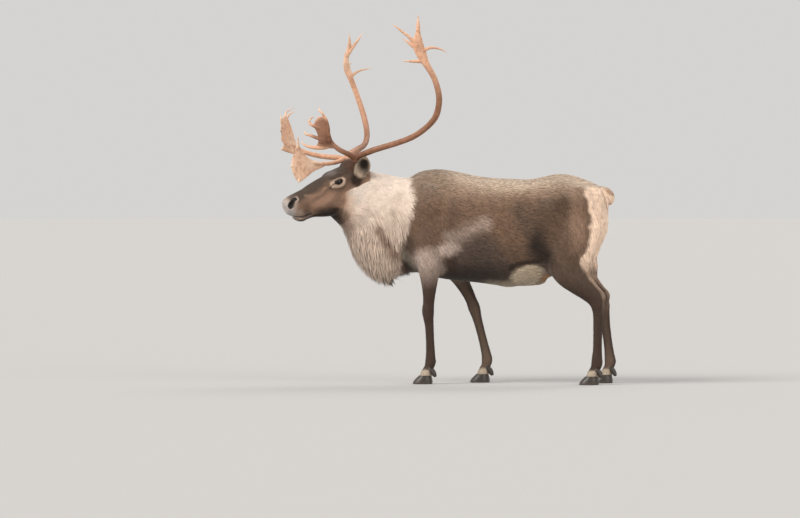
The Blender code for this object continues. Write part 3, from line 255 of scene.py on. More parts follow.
def tube(points, sides=16, hint=(0.3, 1, 0.2), steps=4, steady=False):
    return loft(tubeRings(curveThrough(points, steps), sides, hint, steady))


def plate(edges, thick, sides=24, steps=5):
    rows = curveThrough([list(a) + list(b) for a, b in edges], steps)
    middles = [(Vector(r[:3]) + Vector(r[3:])) / 2 for r in rows]
    rings = []
    for i, row in enumerate(rows):
        half = (Vector(row[:3]) - Vector(row[3:])) / 2
        ahead = stepAt(middles, i).normalized()
        normal = half.cross(ahead).normalized()
        depth = min(thick, half.length * 0.5)
        rings.append([middles[i] + half * math.cos(a) + normal * depth * math.sin(a)
                      for a in turns(sides)])
    return loft(rings)


def stub(foot, axis, rows, sides=24, steps=4):  # a short round form; its rows: how far along, and the radius
    return tube([list(foot + axis * up) + [size] for up, size in rows], sides, steps=steps)


def egg(centre, axes, radii, segments=32, rows=16):
    rings = []
    for r in range(1, rows):
        polar = math.pi * r / rows
        rings.append([Vector(centre) + axes[0] * radii[0] * math.sin(polar) * math.cos(a)
                      + axes[1] * radii[1] * math.sin(polar) * math.sin(a)
                      + axes[2] * radii[2] * math.cos(polar) for a in turns(segments)])
    return loft(rings)


def place(name, points, faces):
    mesh = bpy.data.meshes.new(name)
    mesh.from_pydata([tuple(p) for p in points], [], faces)
    obj = bpy.data.objects.new(name, mesh)
    bpy.context.scene.collection.objects.link(obj)
    return obj


def faceOutward(mesh):
    work = bmesh.new()
    work.from_mesh(mesh)
    bmesh.ops.recalc_face_normals(work, faces=work.faces)
    work.to_mesh(mesh)
    work.free()


def joinShells(name, shells):
    points, faces = [], []
    for shellPoints, shellFaces in shells:
        start = sum(len(p) for p in points)
        points.append(np.asarray(shellPoints))
        faces += [tuple(start + i for i in f) for f in shellFaces]
    obj = place(name, np.vstack(points), faces)
    faceOutward(obj.data)
    return obj


def setMarks(mesh, name, kind, values):  # one value, vector or colour for each point of the mesh
    field = {"FLOAT": "value", "FLOAT_VECTOR": "vector", "FLOAT_COLOR": "color"}[kind]
    mesh.attributes.new(name, kind, "POINT").data.foreach_set(field, np.asarray(values, np.float32).ravel())


def setColour(mesh, name, colours):
    setMarks(mesh, name, "FLOAT_COLOR", np.hstack([colours, np.ones((len(colours), 1))]))


# skin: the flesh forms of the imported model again, finer, and drawn in by the coat's depth
# torso: along, top, bottom, half width, share of the height where it is widest
torso = [
    (-0.255, 1.085, 0.64, 0.12, 0.5), (-0.2, 1.112, 0.602, 0.165, 0.46), (-0.137, 1.146, 0.59, 0.188, 0.44),
    (-0.044, 1.159, 0.566, 0.202, 0.43), (0.058, 1.146, 0.55, 0.212, 0.43),
    (0.16, 1.124, 0.542, 0.222, 0.43), (0.26, 1.112, 0.529, 0.23, 0.43), (0.35, 1.108, 0.516, 0.231, 0.43),
    (0.45, 1.105, 0.537, 0.224, 0.44), (0.53, 1.119, 0.56, 0.214, 0.46), (0.605, 1.134, 0.585, 0.205, 0.5),
    (0.69, 1.126, 0.62, 0.193, 0.54), (0.763, 1.102, 0.66, 0.172, 0.56), (0.82, 1.076, 0.7, 0.142, 0.56),
    (0.858, 1.046, 0.745, 0.105, 0.56), (0.88, 0.99, 0.81, 0.06, 0.56),
]
# neck: top's place and height, bottom's place and height, half width, aside, turn in degrees
neck = [
    (-0.12, 1.118, -0.14, 0.64, 0.165, 0, 0), (-0.19, 1.11, -0.205, 0.592, 0.168, 0, 0),
    (-0.23, 1.112, -0.27, 0.574, 0.158, 0, 1), (-0.262, 1.119, -0.335, 0.556, 0.15, 0, 3),
    (-0.303, 1.127, -0.402, 0.573, 0.143, -0.003, 6), (-0.345, 1.135, -0.465, 0.622, 0.134, -0.009, 9),
    (-0.387, 1.143, -0.513, 0.7, 0.122, -0.017, 13), (-0.425, 1.15, -0.546, 0.79, 0.108, -0.027, 18),
    (-0.457, 1.155, -0.58, 0.855, 0.095, -0.038, 23), (-0.5, 1.155, -0.622, 0.9, 0.08, -0.052, 28),
]
# legs: the middle of each ring, then half its depth and half its width
foreLeft = [
    (-0.06, -0.08, 0.93, 0.06, 0.05), (-0.08, -0.128, 0.82, 0.112, 0.072),
    (-0.078, -0.146, 0.735, 0.099, 0.066), (-0.073, -0.15, 0.67, 0.08, 0.056),
    (-0.071, -0.148, 0.61, 0.062, 0.048), (-0.071, -0.144, 0.54, 0.046, 0.04),
    (-0.073, -0.14, 0.475, 0.036, 0.034), (-0.076, -0.137, 0.43, 0.033, 0.032),
    (-0.079, -0.135, 0.392, 0.036, 0.034), (-0.077, -0.134, 0.355, 0.031, 0.03),
    (-0.072, -0.133, 0.31, 0.027, 0.026), (-0.068, -0.132, 0.22, 0.026, 0.024),
    (-0.066, -0.131, 0.155, 0.028, 0.026), (-0.066, -0.131, 0.118, 0.032, 0.029),
    (-0.074, -0.131, 0.088, 0.027, 0.028), (-0.086, -0.131, 0.062, 0.032, 0.035),
    (-0.094, -0.131, 0.03, 0.036, 0.04),
]
foreRight = [
    (-0.07, 0.08, 0.93, 0.06, 0.05), (-0.076, 0.128, 0.82, 0.112, 0.072),
    (-0.054, 0.146, 0.735, 0.099, 0.066), (-0.02, 0.15, 0.672, 0.078, 0.056),
    (0.022, 0.147, 0.612, 0.058, 0.048), (0.064, 0.142, 0.55, 0.045, 0.04),
    (0.1, 0.138, 0.487, 0.036, 0.034), (0.121, 0.136, 0.443, 0.033, 0.032),
    (0.136, 0.134, 0.405, 0.036, 0.034), (0.147, 0.133, 0.368, 0.031, 0.03),
    (0.16, 0.132, 0.322, 0.027, 0.026), (0.184, 0.131, 0.232, 0.026, 0.024),
    (0.201, 0.13, 0.163, 0.028, 0.026), (0.208, 0.13, 0.122, 0.032, 0.029),
    (0.202, 0.13, 0.09, 0.027, 0.028), (0.191, 0.13, 0.063, 0.032, 0.035), (0.183, 0.13, 0.03, 0.036, 0.04),
]
hindLeft = [
    (0.69, -0.05, 1.01, 0.07, 0.06), (0.7, -0.098, 0.9, 0.15, 0.088), (0.694, -0.124, 0.79, 0.16, 0.086),
    (0.676, -0.138, 0.69, 0.132, 0.077), (0.692, -0.144, 0.61, 0.1, 0.062),
    (0.738, -0.143, 0.548, 0.072, 0.048), (0.786, -0.14, 0.5, 0.054, 0.038),
    (0.824, -0.138, 0.462, 0.046, 0.033), (0.84, -0.137, 0.422, 0.04, 0.03),
    (0.842, -0.136, 0.375, 0.031, 0.026), (0.84, -0.135, 0.3, 0.028, 0.025),
    (0.838, -0.134, 0.2, 0.027, 0.024), (0.836, -0.133, 0.15, 0.03, 0.027),
    (0.835, -0.133, 0.115, 0.034, 0.03), (0.827, -0.133, 0.087, 0.028, 0.028),
    (0.815, -0.133, 0.062, 0.032, 0.035), (0.807, -0.133, 0.03, 0.036, 0.04),
]
hindRightShift = [0, 0, 0, 0, -0.006, -0.008, -0.008, -0.006, -0.002, 0.004, 0.014, 0.03, 0.038,
                  0.043, 0.045, 0.046, 0.046]  # how far behind its fellow each ring of the right one stands
hindRight = [(x + shift, -y, z, deep, wide) for (x, y, z, deep, wide), shift in zip(hindLeft, hindRightShift)]
legs = (foreLeft, foreRight, hindLeft, hindRight)
# skull and jaw: along the nose, top, bottom, half width, share of the height where it is widest
skull = [
    (-0.11, 0, -0.11, 0.05, 0.5), (-0.075, 0.036, -0.135, 0.066, 0.55), (-0.04, 0.056, -0.15, 0.074, 0.62),
    (0, 0.064, -0.16, 0.078, 0.68), (0.04, 0.07, -0.166, 0.079, 0.72), (0.08, 0.072, -0.168, 0.078, 0.74),
    (0.115, 0.07, -0.166, 0.074, 0.74), (0.15, 0.066, -0.158, 0.066, 0.7),
    (0.185, 0.066, -0.15, 0.059, 0.64), (0.222, 0.064, -0.132, 0.054, 0.6),
    (0.256, 0.061, -0.114, 0.05, 0.58), (0.29, 0.056, -0.096, 0.048, 0.56),
    (0.33, 0.0545, -0.083, 0.049, 0.54), (0.36, 0.054, -0.074, 0.052, 0.52),
    (0.388, 0.051, -0.062, 0.051, 0.52), (0.407, 0.046, -0.048, 0.045, 0.52),
    (0.418, 0.038, -0.034, 0.036, 0.52), (0.4235, 0.024, -0.014, 0.02, 0.52),
]
jaw = [
    (0.11, -0.08, -0.158, 0.05, 0.45), (0.16, -0.08, -0.157, 0.05, 0.45), (0.2, -0.08, -0.15, 0.048, 0.45),
    (0.25, -0.078, -0.13, 0.043, 0.48), (0.29, -0.074, -0.112, 0.04, 0.5),
    (0.33, -0.067, -0.105, 0.039, 0.5), (0.354, -0.061, -0.105, 0.039, 0.5),
    (0.374, -0.055, -0.097, 0.036, 0.5), (0.388, -0.051, -0.084, 0.028, 0.5),
    (0.396, -0.053, -0.07, 0.014, 0.5),
]
tail = [(0.79, 1.052, 0.026, 0.016), (0.835, 1.05, 0.033, 0.02), (0.868, 1.04, 0.036, 0.022),
        (0.89, 1.018, 0.035, 0.021), (0.899, 0.996, 0.029, 0.017), (0.9, 0.978, 0.018, 0.011),
        (0.899, 0.964, 0.004, 0.003)]
earRings = [(0, 0.024, 0.022, 0), (0.1, 0.026, 0.023, 0), (0.21, 0.031, 0.024, 0.6),
            (0.35, 0.037, 0.025, 1), (0.5, 0.04, 0.024, 1), (0.65, 0.037, 0.02, 1),
            (0.79, 0.029, 0.014, 1), (0.9, 0.018, 0.008, 1), (0.975, 0.007, 0.004, 0.8)]

skinSizes = {
    "bodyVoxel": 0.0069,
    "headVoxel": 0.0029,
    "orbit": ((0.106, 0.05, 0.018), (0.046, 0.03, 0.036)),
    "brow": ((0.098, 0.044, 0.044), (0.046, 0.03, 0.022)),
    "cheek": ((0.11, 0.026, -0.085), (0.095, 0.036, 0.07)),
    "crown": ((-0.015, 0.0, 0.04), (0.062, 0.066, 0.048)),
    "nostrilWing": ((0.384, 0.032, 0.01), (0.03, 0.021, 0.032)),
    "lid": 0.0064,
    "eyeGap": 0.0004,
    "opening": (0.019, 0.0125, 0.0116),
    "openingPlace": (0.016, 0.001),  # before and below the eye's centre
    "openingSlant": math.radians(-8),
    "lips": (0.014, 0.01, 0.0011),  # the groove between them: outward, inward, half its height
    "pedicle": [(-0.07, 0.036), (-0.02, 0.027), (0.002, 0.024)],
    "earRoot": [(-0.035, 0.034), (-0.01, 0.029), (0.012, 0.026)],
    "earBow": 0.01,
    "earLength": 0.14,
    "earWall": 0.0055,
    "earBase": (-0.02, 0.078, 1.108),
    "earTips": {1: (-0.026, 0.152, 1.22), -1: (-0.04, -0.168, 1.196)},
    "earFaces": (0.55, 0.8, 0.05),
}
hockCord = [(0.795, 0.142, 0.57, 0.02), (0.836, 0.138, 0.516, 0.017), (0.866, 0.138, 0.478, 0.02),
            (0.867, 0.138, 0.448, 0.015)]
sheath = [(0.4, 0.56, 0.04), (0.47, 0.556, 0.032), (0.52, 0.556, 0.026), (0.548, 0.562, 0.012)]
nostril = [(0.346, 0.056, 0.03, 0.004), (0.358, 0.054, 0.034, 0.0075), (0.373, 0.051, 0.033, 0.0098),
           (0.389, 0.047, 0.025, 0.0132), (0.401, 0.042, 0.014, 0.014), (0.407, 0.036, 0.004, 0.0065)]
mouthLine = [(0.3, 0.046, -0.08), (0.326, 0.046, -0.08), (0.351, 0.046, -0.0765), (0.376, 0.044, -0.065),
             (0.398, 0.036, -0.052), (0.413, 0.02, -0.042), (0.421, 0.0, -0.039)]
muscles = [  # centre, half sizes, turn about the side axis in degrees; the same on both sides
    ((-0.05, 0.15, 0.905), (0.085, 0.05, 0.185), -16),  # shoulder blade
    ((0.01, 0.158, 0.735), (0.095, 0.046, 0.08), 25),  # back of the upper arm
    ((0.7, 0.118, 0.93), (0.13, 0.07, 0.16), 8),  # haunch
    ((0.768, 0.105, 0.8), (0.068, 0.06, 0.15), -4),  # back of the thigh
    ((0.766, 0.125, 0.635), (0.049, 0.042, 0.115), 0),  # back of the gaskin
    ((0.595, 0.15, 0.7), (0.05, 0.035, 0.09), -28),  # stifle
]
presses = [  # place, half sizes and depth of the hollows pressed into the flanks; the same on both sides
    ((0.075, 0.2, 0.8), (0.04, 0.08, 0.15), 0.01),  # behind the shoulder
    ((0.05, 0.17, 0.64), (0.035, 0.08, 0.08), 0.014),  # behind the elbow
    ((0.51, 0.2, 0.74), (0.045, 0.08, 0.13), 0.014),  # before the thigh
    ((0.48, 0.21, 0.98), (0.07, 0.07, 0.08), 0.01),  # hollow of the flank
    ((-0.175, 0.17, 0.76), (0.04, 0.09, 0.16), 0.01),  # between neck and shoulder
    ((0.72, 0.13, 0.64), (0.03, 0.08, 0.06), 0.006),  # between thigh and leg
    ((0.86, 0.09, 0.735), (0.05, 0.08, 0.065), 0.018),  # under the seat
]


def legShell(rows):
    return loft(tubeRings(curveThrough(rows, 4), 32, (1, 0, 0)))


def neckShell(first, count):
    rings = []
    for topX, topZ, lowX, lowZ, half, y, turn in curveThrough(neck[first:], 4):
        side = Vector((-math.sin(math.radians(turn)), math.cos(math.radians(turn)), 0)) * half
        rings.append(ovalRing(Vector((topX, y, topZ)), Vector((lowX, y, lowZ)), side, 0.5, count))
    return loft(rings)


def bodyShells():
    rings = []
    for x, top, bottom, half, widest in curveThrough(torso, 4):
        rings.append(ovalRing(Vector((x, 0, top)), Vector((x, 0, bottom)), Vector((0, half, 0)), widest, 72))
    shells = [loft(rings), neckShell(0, 64)]
    shells += [legShell(rows) for rows in legs]
    for side, shift in ((1, 0.0), (-1, -0.007)):
        shells.append(tube([(x + shift, -y * side, z, size) for x, y, z, size in hockCord], 16, (1, 0, 0)))
    shells.append(tube([(x, 0, z, size) for x, z, size in sheath], 20, (0, 1, 0)))
    shells.append(tube([(x, 0, z, wide, thick) for x, z, wide, thick in tail], 24, (0, 1, 0)))
    for (x, y, z), radii, turn in muscles:
        tilt = Matrix.Rotation(math.radians(turn), 3, "Y")
        axes = [tilt @ Vector(axis) for axis in ((1, 0, 0), (0, 1, 0), (0, 0, 1))]
        for hand in (1, -1):
            shells.append(egg((x, y * hand, z), axes, radii))
    return shells


def earLine(hand):
    forward, side, height = skinSizes["earBase"]
    return fromPoll(forward, hand * side, height), fromPoll(*skinSizes["earTips"][hand])


def earFace(hand):  # which way the ear opens
    ahead, left = facing()
    forward, aside, up = skinSizes["earFaces"]
    return ahead * forward + left * hand * aside + Vector((0, 0, up))


def earShell(hand):
    base, tip = earLine(hand)
    along = (tip - base).normalized()
    faces = earFace(hand)
    faces = (faces - along * faces.dot(along)).normalized()
    across = along.cross(faces)
    rings = []
    for share, half, back, hollow in curveThrough(earRings, 4):
        bow = faces * skinSizes["earBow"] * math.sin(math.pi * share)
        middle = base + along * skinSizes["earLength"] * share - bow
        wall = min(skinSizes["earWall"], half * 0.5, back * 0.5)
        ring = [middle + across * half * math.cos(math.pi * k / 16) - faces * back * math.sin(math.pi * k / 16)
                for k in range(17)]
        for k in range(15):
            angle = math.pi - math.pi * (k + 0.5) / 15
            floorAt = (back - wall) * hollow - back * (1 - hollow)
            ring.append(middle + across * (half - wall) * math.cos(angle) - faces * floorAt * math.sin(angle))
        rings.append(ring)
    return loft(rings)


def headShells():
    axes = headAxes()
    shells = []
    for rows, count in ((skull, 64), (jaw, 48)):
        rings = []
        for along, top, bottom, half, widest in curveThrough(rows, 4):
            above, below = inHead(along, 0, top), inHead(along, 0, bottom)
            rings.append(ovalRing(above, below, flankAxis * half, widest, count))
        shells.append(loft(rings))
    shells.append(neckShell(6, 64))
    for hand in (1, -1):
        for form in ("orbit", "brow", "cheek", "crown", "nostrilWing"):
            (along, side, above), radii = skinSizes[form]
            shells.append(egg(inHead(along, hand * side, above), axes, radii))
        foot, axis = burrFoot(hand)
        shells.append(stub(foot, axis, skinSizes["pedicle"]))
        base, tip = earLine(hand)
        shells.append(stub(base, (tip - base).normalized(), skinSizes["earRoot"]))
        shells.append(earShell(hand))
        shells.append(egg(eyeCentre(hand), axes, [headPose["eyeRadius"] + skinSizes["lid"]] * 3, 48, 24))
    return shells


def applyAll(obj):
    mesh = bpy.data.meshes.new_from_object(obj.evaluated_get(bpy.context.evaluated_depsgraph_get()))
    old = obj.data
    obj.modifiers.clear()
    obj.data = mesh
    bpy.data.meshes.remove(old)


def remesh(obj, voxel, rounds):
    fuse = obj.modifiers.new("fuse", "REMESH")
    fuse.mode = "VOXEL"
    fuse.voxel_size = voxel
    relax = obj.modifiers.new("relax", "SMOOTH")
    relax.factor = 0.5
    relax.iterations = rounds
    applyAll(obj)


def cutBy(obj, shell):
    helper = joinShells("cutter", [shell])
    cut = obj.modifiers.new("cut", "BOOLEAN")
    cut.operation = "DIFFERENCE"
    cut.solver = "MANIFOLD"
    cut.object = helper
    applyAll(obj)
    bpy.data.objects.remove(helper)


def pointsOf(mesh):
    points = np.empty(len(mesh.vertices) * 3, np.float32)
    mesh.vertices.foreach_get("co", points)
    return points.reshape(-1, 3).astype(float)


def normalsOf(mesh):
    normals = np.empty(len(mesh.vertices) * 3, np.float32)
    mesh.vertex_normals.foreach_get("vector", normals)
    return normals.reshape(-1, 3).astype(float)


def setPoints(mesh, points):
    mesh.vertices.foreach_set("co", points.astype(np.float32).ravel())
    mesh.update()


# soft masks for depth, lie and colour; all work on arrays of points
def soft(value, low, high):
    t = np.clip((value - low) / (high - low), 0, 1)
    return t * t * (3 - 2 * t)


def fade(value, low, high):
    return 1 - soft(value, low, high)


def gapTo(points, place):
    return np.linalg.norm(points - np.array(place), axis=1)


def unitRows(rows):
    return rows / np.maximum(np.linalg.norm(rows, axis=1), 1e-9)[:, None]


def blendRows(rows, other, share):
    return rows + (np.array(other) - rows) * np.clip(share, 0, 1)[:, None]


def dots(rows, others):
    return np.sum(rows * others, axis=1)[:, None]


def alongSkin(rows, normals):  # the part that lies in the skin, at length 1
    return unitRows(rows - normals * dots(rows, normals))


def wobble(points, size, seed):  # a smooth uneven value about 0, changing over the given size
    draw = np.random.default_rng(seed)
    total = np.zeros(len(points))
    for _ in range(7):
        way = draw.normal(size=3)
        way /= np.linalg.norm(way)
        total += np.sin(points @ way * 2 * math.pi / (size * draw.uniform(0.6, 1.6)) + draw.uniform(0, 6.28))
    return total / 3.5


def spot(u, v, centre, radii, turn=0.0, edge=0.45):
    angle = math.radians(turn)
    du, dv = u - centre[0], v - centre[1]
    a = (du * math.cos(angle) + dv * math.sin(angle)) / radii[0]
    b = (dv * math.cos(angle) - du * math.sin(angle)) / radii[1]
    return fade(np.hypot(a, b), 1 - edge, 1 + edge)


def pathGap(u, v, path):  # distance from a line drawn through the path
    best = np.full(len(u), 9.0)
    for (ax, ay), (bx, by) in zip(path, path[1:]):
        length = (bx - ax) ** 2 + (by - ay) ** 2
        t = np.clip(((u - ax) * (bx - ax) + (v - ay) * (by - ay)) / length, 0, 1)
        best = np.minimum(best, np.hypot(u - ax - t * (bx - ax), v - ay - t * (by - ay)))
    return best


def headPlaces(points):  # along the nose, to the left, above
    away = points - np.array(headPose["origin"])
    return away @ np.array(noseAxis), away @ np.array(flankAxis), away @ np.array(crownAxis)


def almondShare(points):  # 1 at the edge of the opening between the lids
    share = np.full(len(points), 9.0)
    wide, _, high = skinSizes["opening"]
    for hand in (1, -1):
        along, out, above = (np.array(axis) for axis in lidOpening(hand))
        away = points - np.array(eyeCentre(hand)) + above * skinSizes["openingPlace"][1]
        found = np.where(away @ out > 0, np.hypot(away @ along / wide, away @ above / high), 9)
        share = np.where(np.linalg.norm(away, axis=1) < 0.05, np.minimum(share, found), share)
    return share


def nostrilShare(points):  # 1 at the rim of the nostril
    a, s, c = headPlaces(points)
    share = np.full(len(points), 9.0)
    for along, side, above, radius in curveThrough(nostril[1:], 4):
        share = np.minimum(share, np.hypot(a - along, c - above) / radius)
    return np.where(np.abs(s) > 0.012, share, 9.0)


def flankPlaces(points):  # along the flank as seen from a little behind the side, and height
    turn = math.radians(8)
    return points[:, 0] * math.cos(turn) - np.abs(points[:, 1]) * math.sin(turn), points[:, 2]


headSide = fromPoll(-0.095, 0, 1.15), (facing()[0] * 0.898 + Vector((0, 0, 0.44))).normalized()


def aheadOfNape(points):
    return (points - np.array(headSide[0])) @ np.array(headSide[1])


legLine = KDTree(4 * 80)
legWide = []
for rows in legs:
    for row in curveThrough([r for r in rows if r[2] < 0.64], 5):
        legLine.insert(row[:3], len(legWide))
        legWide.append(max(row[3], row[4]))
legLine.balance()


def legShare(points):  # 1 on a leg below the body, 0 on the trunk
    z = points[:, 2]
    low = z < 0.72
    share = np.zeros(len(points))
    for i in np.nonzero(low)[0]:
        _, which, gap = legLine.find(points[i])
        share[i] = gap / legWide[which]
    return np.where(low, fade(share, 1.25, 1.75) * fade(z, 0.58, 0.7), 0)


def earPlaces(points, hand):  # share of the ear's length, and distance from its middle line
    base, tip = earLine(hand)
    along = np.array((tip - base).normalized())
    away = points - np.array(base)
    length = away @ along
    return length / skinSizes["earLength"], np.linalg.norm(away - length[:, None] * along, axis=1)


def earShare(points):
    total = np.zeros(len(points))
    for hand in (1, -1):
        share, off = earPlaces(points, hand)
        total = np.maximum(total, soft(share, 0.02, 0.16) * fade(off, 0.05, 0.062))
    return total


def tailShare(points):
    x, y, z = points.T
    return soft(x, 0.85, 0.872) * fade(np.abs(y), 0.03, 0.042) * soft(z, 0.945, 0.96) * fade(z, 1.045, 1.07)


coatDepth = {"trunk": 0.0065, "neck": 0.009, "mane": 0.014, "leg": 0.0034, "foot": 0.0028, "head": 0.0028,
             "muzzle": 0.0012, "ear": 0.0008, "tail": 0.005, "underHead": 0.008}


def maneShare(points):
    x, _, z = points.T
    return fade(x, -0.26, -0.19) * fade(aheadOfNape(points), -0.03, 0.02) * soft(-z, -0.98, -0.86)


def depthAt(points, onHead):
    x, _, z = points.T
    along, leg, ahead = headPlaces(points)[0], legShare(points), aheadOfNape(points)
    head = soft(ahead, -0.03, 0.015)
    depth = np.full(len(points), coatDepth["trunk"])
    for region, share in (("neck", fade(x, -0.3, -0.16)), ("mane", maneShare(points)), ("leg", leg),
                          ("foot", leg * fade(z, 0.12, 0.3)), ("head", head),
                          ("muzzle", head * soft(along, 0.26, 0.36)), ("ear", earShare(points)),
                          ("tail", tailShare(points))):
        depth += (coatDepth[region] - depth) * share
    return depth if onHead else depth + coatDepth["underHead"] * soft(ahead, -0.004, 0.02)


def shapeFlanks(points, normals):
    for (x, y, z), (wide, aside, high), depth in presses:
        for hand in (1, -1):
            gap = ((points[:, 0] - x) / wide) ** 2 + ((points[:, 1] - y * hand) / aside) ** 2 \
                + ((points[:, 2] - z) / high) ** 2
            points = points - normals * (depth * np.exp(-gap))[:, None]
    return points


def makeBodySkin():
    obj = joinShells("skinBody", bodyShells())
    remesh(obj, skinSizes["bodyVoxel"], 9)
    points, normals = pointsOf(obj.data), normalsOf(obj.data)
    points = shapeFlanks(points, normals)
    setPoints(obj.data, points)
    normals = normalsOf(obj.data)
    setPoints(obj.data, points - normals * depthAt(points, False)[:, None])
    return obj


def lidOpening(hand):
    slant = skinSizes["openingSlant"]
    along = noseAxis * math.cos(slant) - crownAxis * math.sin(slant)
    above = crownAxis * math.cos(slant) + noseAxis * math.sin(slant)
    return along, flankAxis * hand, above


def openingCentre(hand):
    _, out, above = lidOpening(hand)
    forward, drop = skinSizes["openingPlace"]
    return eyeCentre(hand) + out * forward - above * drop


def makeHeadSkin():
    obj = joinShells("skinHead", headShells())
    remesh(obj, skinSizes["headVoxel"], 3)
    points, normals = pointsOf(obj.data), normalsOf(obj.data)
    behind = fade(aheadOfNape(points), -0.05, -0.014)  # there it narrows and dives under the body's skin
    points = points - normals * (depthAt(points, True) * (1 - behind))[:, None]
    throatMiddle = np.array((-0.475, -0.025, 0.98))
    setPoints(obj.data, points + (throatMiddle - points) * (0.25 * behind)[:, None])
    cuts = []
    for hand in (1, -1):
        cuts.append(egg(eyeCentre(hand), headAxes(), [headPose["eyeRadius"] + skinSizes["eyeGap"]] * 3, 64, 32))
        cuts.append(egg(openingCentre(hand), lidOpening(hand), skinSizes["opening"], 48, 24))
        cuts.append(tube([list(inHead(a, hand * s, b)) + [r] for a, s, b, r in nostril], 24, steps=5))
    right = [(a, -s, b) for a, s, b in mouthLine[:-1]]
    path = curveThrough([list(inHead(*p)) for p in mouthLine + right[::-1]], 5)
    outward, inward, gape = skinSizes["lips"]
    rings = []
    for i, row in enumerate(path):
        out = Vector(stepAt(path, i)).normalized().cross(crownAxis).normalized()
        spotOn = Vector(row)
        rings.append([spotOn + out * outward, spotOn + crownAxis * gape, spotOn - out * inward,
                      spotOn - crownAxis * gape])
    for shell in cuts + [loft(rings)]:
        cutBy(obj, shell)
    return obj


# markings, some of them painted shade and painted highlights: the same for the skin and the coat, and alike on
# both sides
def linear(code):
    value = np.array([int(code[i:i + 2], 16) / 255 for i in (1, 3, 5)])
    return np.where(value <= 0.04045, value / 12.92, ((value + 0.055) / 1.055) ** 2.4)


hide = {name: linear(code) for name, code in {
    "brown": "#664e3d", "brownDark": "#4b3c31", "backPale": "#a38b77", "topHighlight": "#d6c2ae",
    "haunchPale": "#977a66", "haunchSpot": "#4a3829", "elbow": "#ae9b90", "stripe": "#a08d82",
    "flankDark": "#463a34", "fold": "#2a1f18", "cream": "#d9c9bc", "maneShade": "#c8b2a1", "crease": "#82695a",
    "chestDark": "#7d7266", "belly": "#c9b69d", "sheath": "#c29066", "rump": "#fbdcc3", "tailTop": "#8f705a",
    "leg": "#413128", "legPale": "#85705e", "sock": "#c9b8a4", "tendon": "#a58c78", "cheek": "#876a57",
    "cheekPale": "#a98671", "crown": "#4a3b31", "crownSheen": "#ded3d5", "behindCheek": "#e2bb9d",
    "bridge": "#4d4037", "jawDark": "#25170f", "muzzle": "#c6bdb9", "muzzleWarm": "#b7a294", "chin": "#6d5a50",
    "lipPale": "#b7a393", "nostril": "#1b1613", "lip": "#2b211b", "eyeRing": "#d0b49d", "tear": "#352821",
    "earInside": "#2b211a", "earRim": "#c0aa95", "earBack": "#7e6a5b", "burrHair": "#54392a"}.items()}
# height, then where one colour gives way to the next
neckEdge = ((0.675, -0.248), (0.718, -0.238), (0.772, -0.216), (0.826, -0.2), (0.88, -0.189),
            (0.934, -0.178), (0.988, -0.167), (1.042, -0.173), (1.112, -0.194))
rumpEdge = ((0.6, 0.742), (0.653, 0.72), (0.691, 0.734), (0.745, 0.764), (0.799, 0.778),
            (0.88, 0.779), (0.934, 0.768), (0.988, 0.765), (1.026, 0.75), (1.06, 0.755))
faceEdge = ((-0.2, 0.108), (-0.18, 0.11), (-0.133, 0.118), (-0.098, 0.092), (-0.05, 0.082),
            (-0.04, -0.12))
# lines on the flank, then on the head
bellyLine = ((0.335, 0.621), (0.38, 0.655), (0.43, 0.662), (0.47, 0.659), (0.54, 0.621))
thighFold = ((0.43, 0.88), (0.455, 0.83), (0.485, 0.75), (0.53, 0.66), (0.56, 0.59))
legRear = ((0.735, 0.655), (0.775, 0.575), (0.838, 0.505), (0.853, 0.455), (0.842, 0.36))
tearLine = ((0.12, 0.016), (0.14, 0.018), (0.156, 0.005))
noseFold = ((0.3, 0.026), (0.259, 0.002), (0.215, 0.0), (0.18, 0.018))
jawLine = ((0.1, -0.02), (0.17, -0.085), (0.27, -0.085))
lipLine = [(row[0], row[2]) for row in mouthLine]

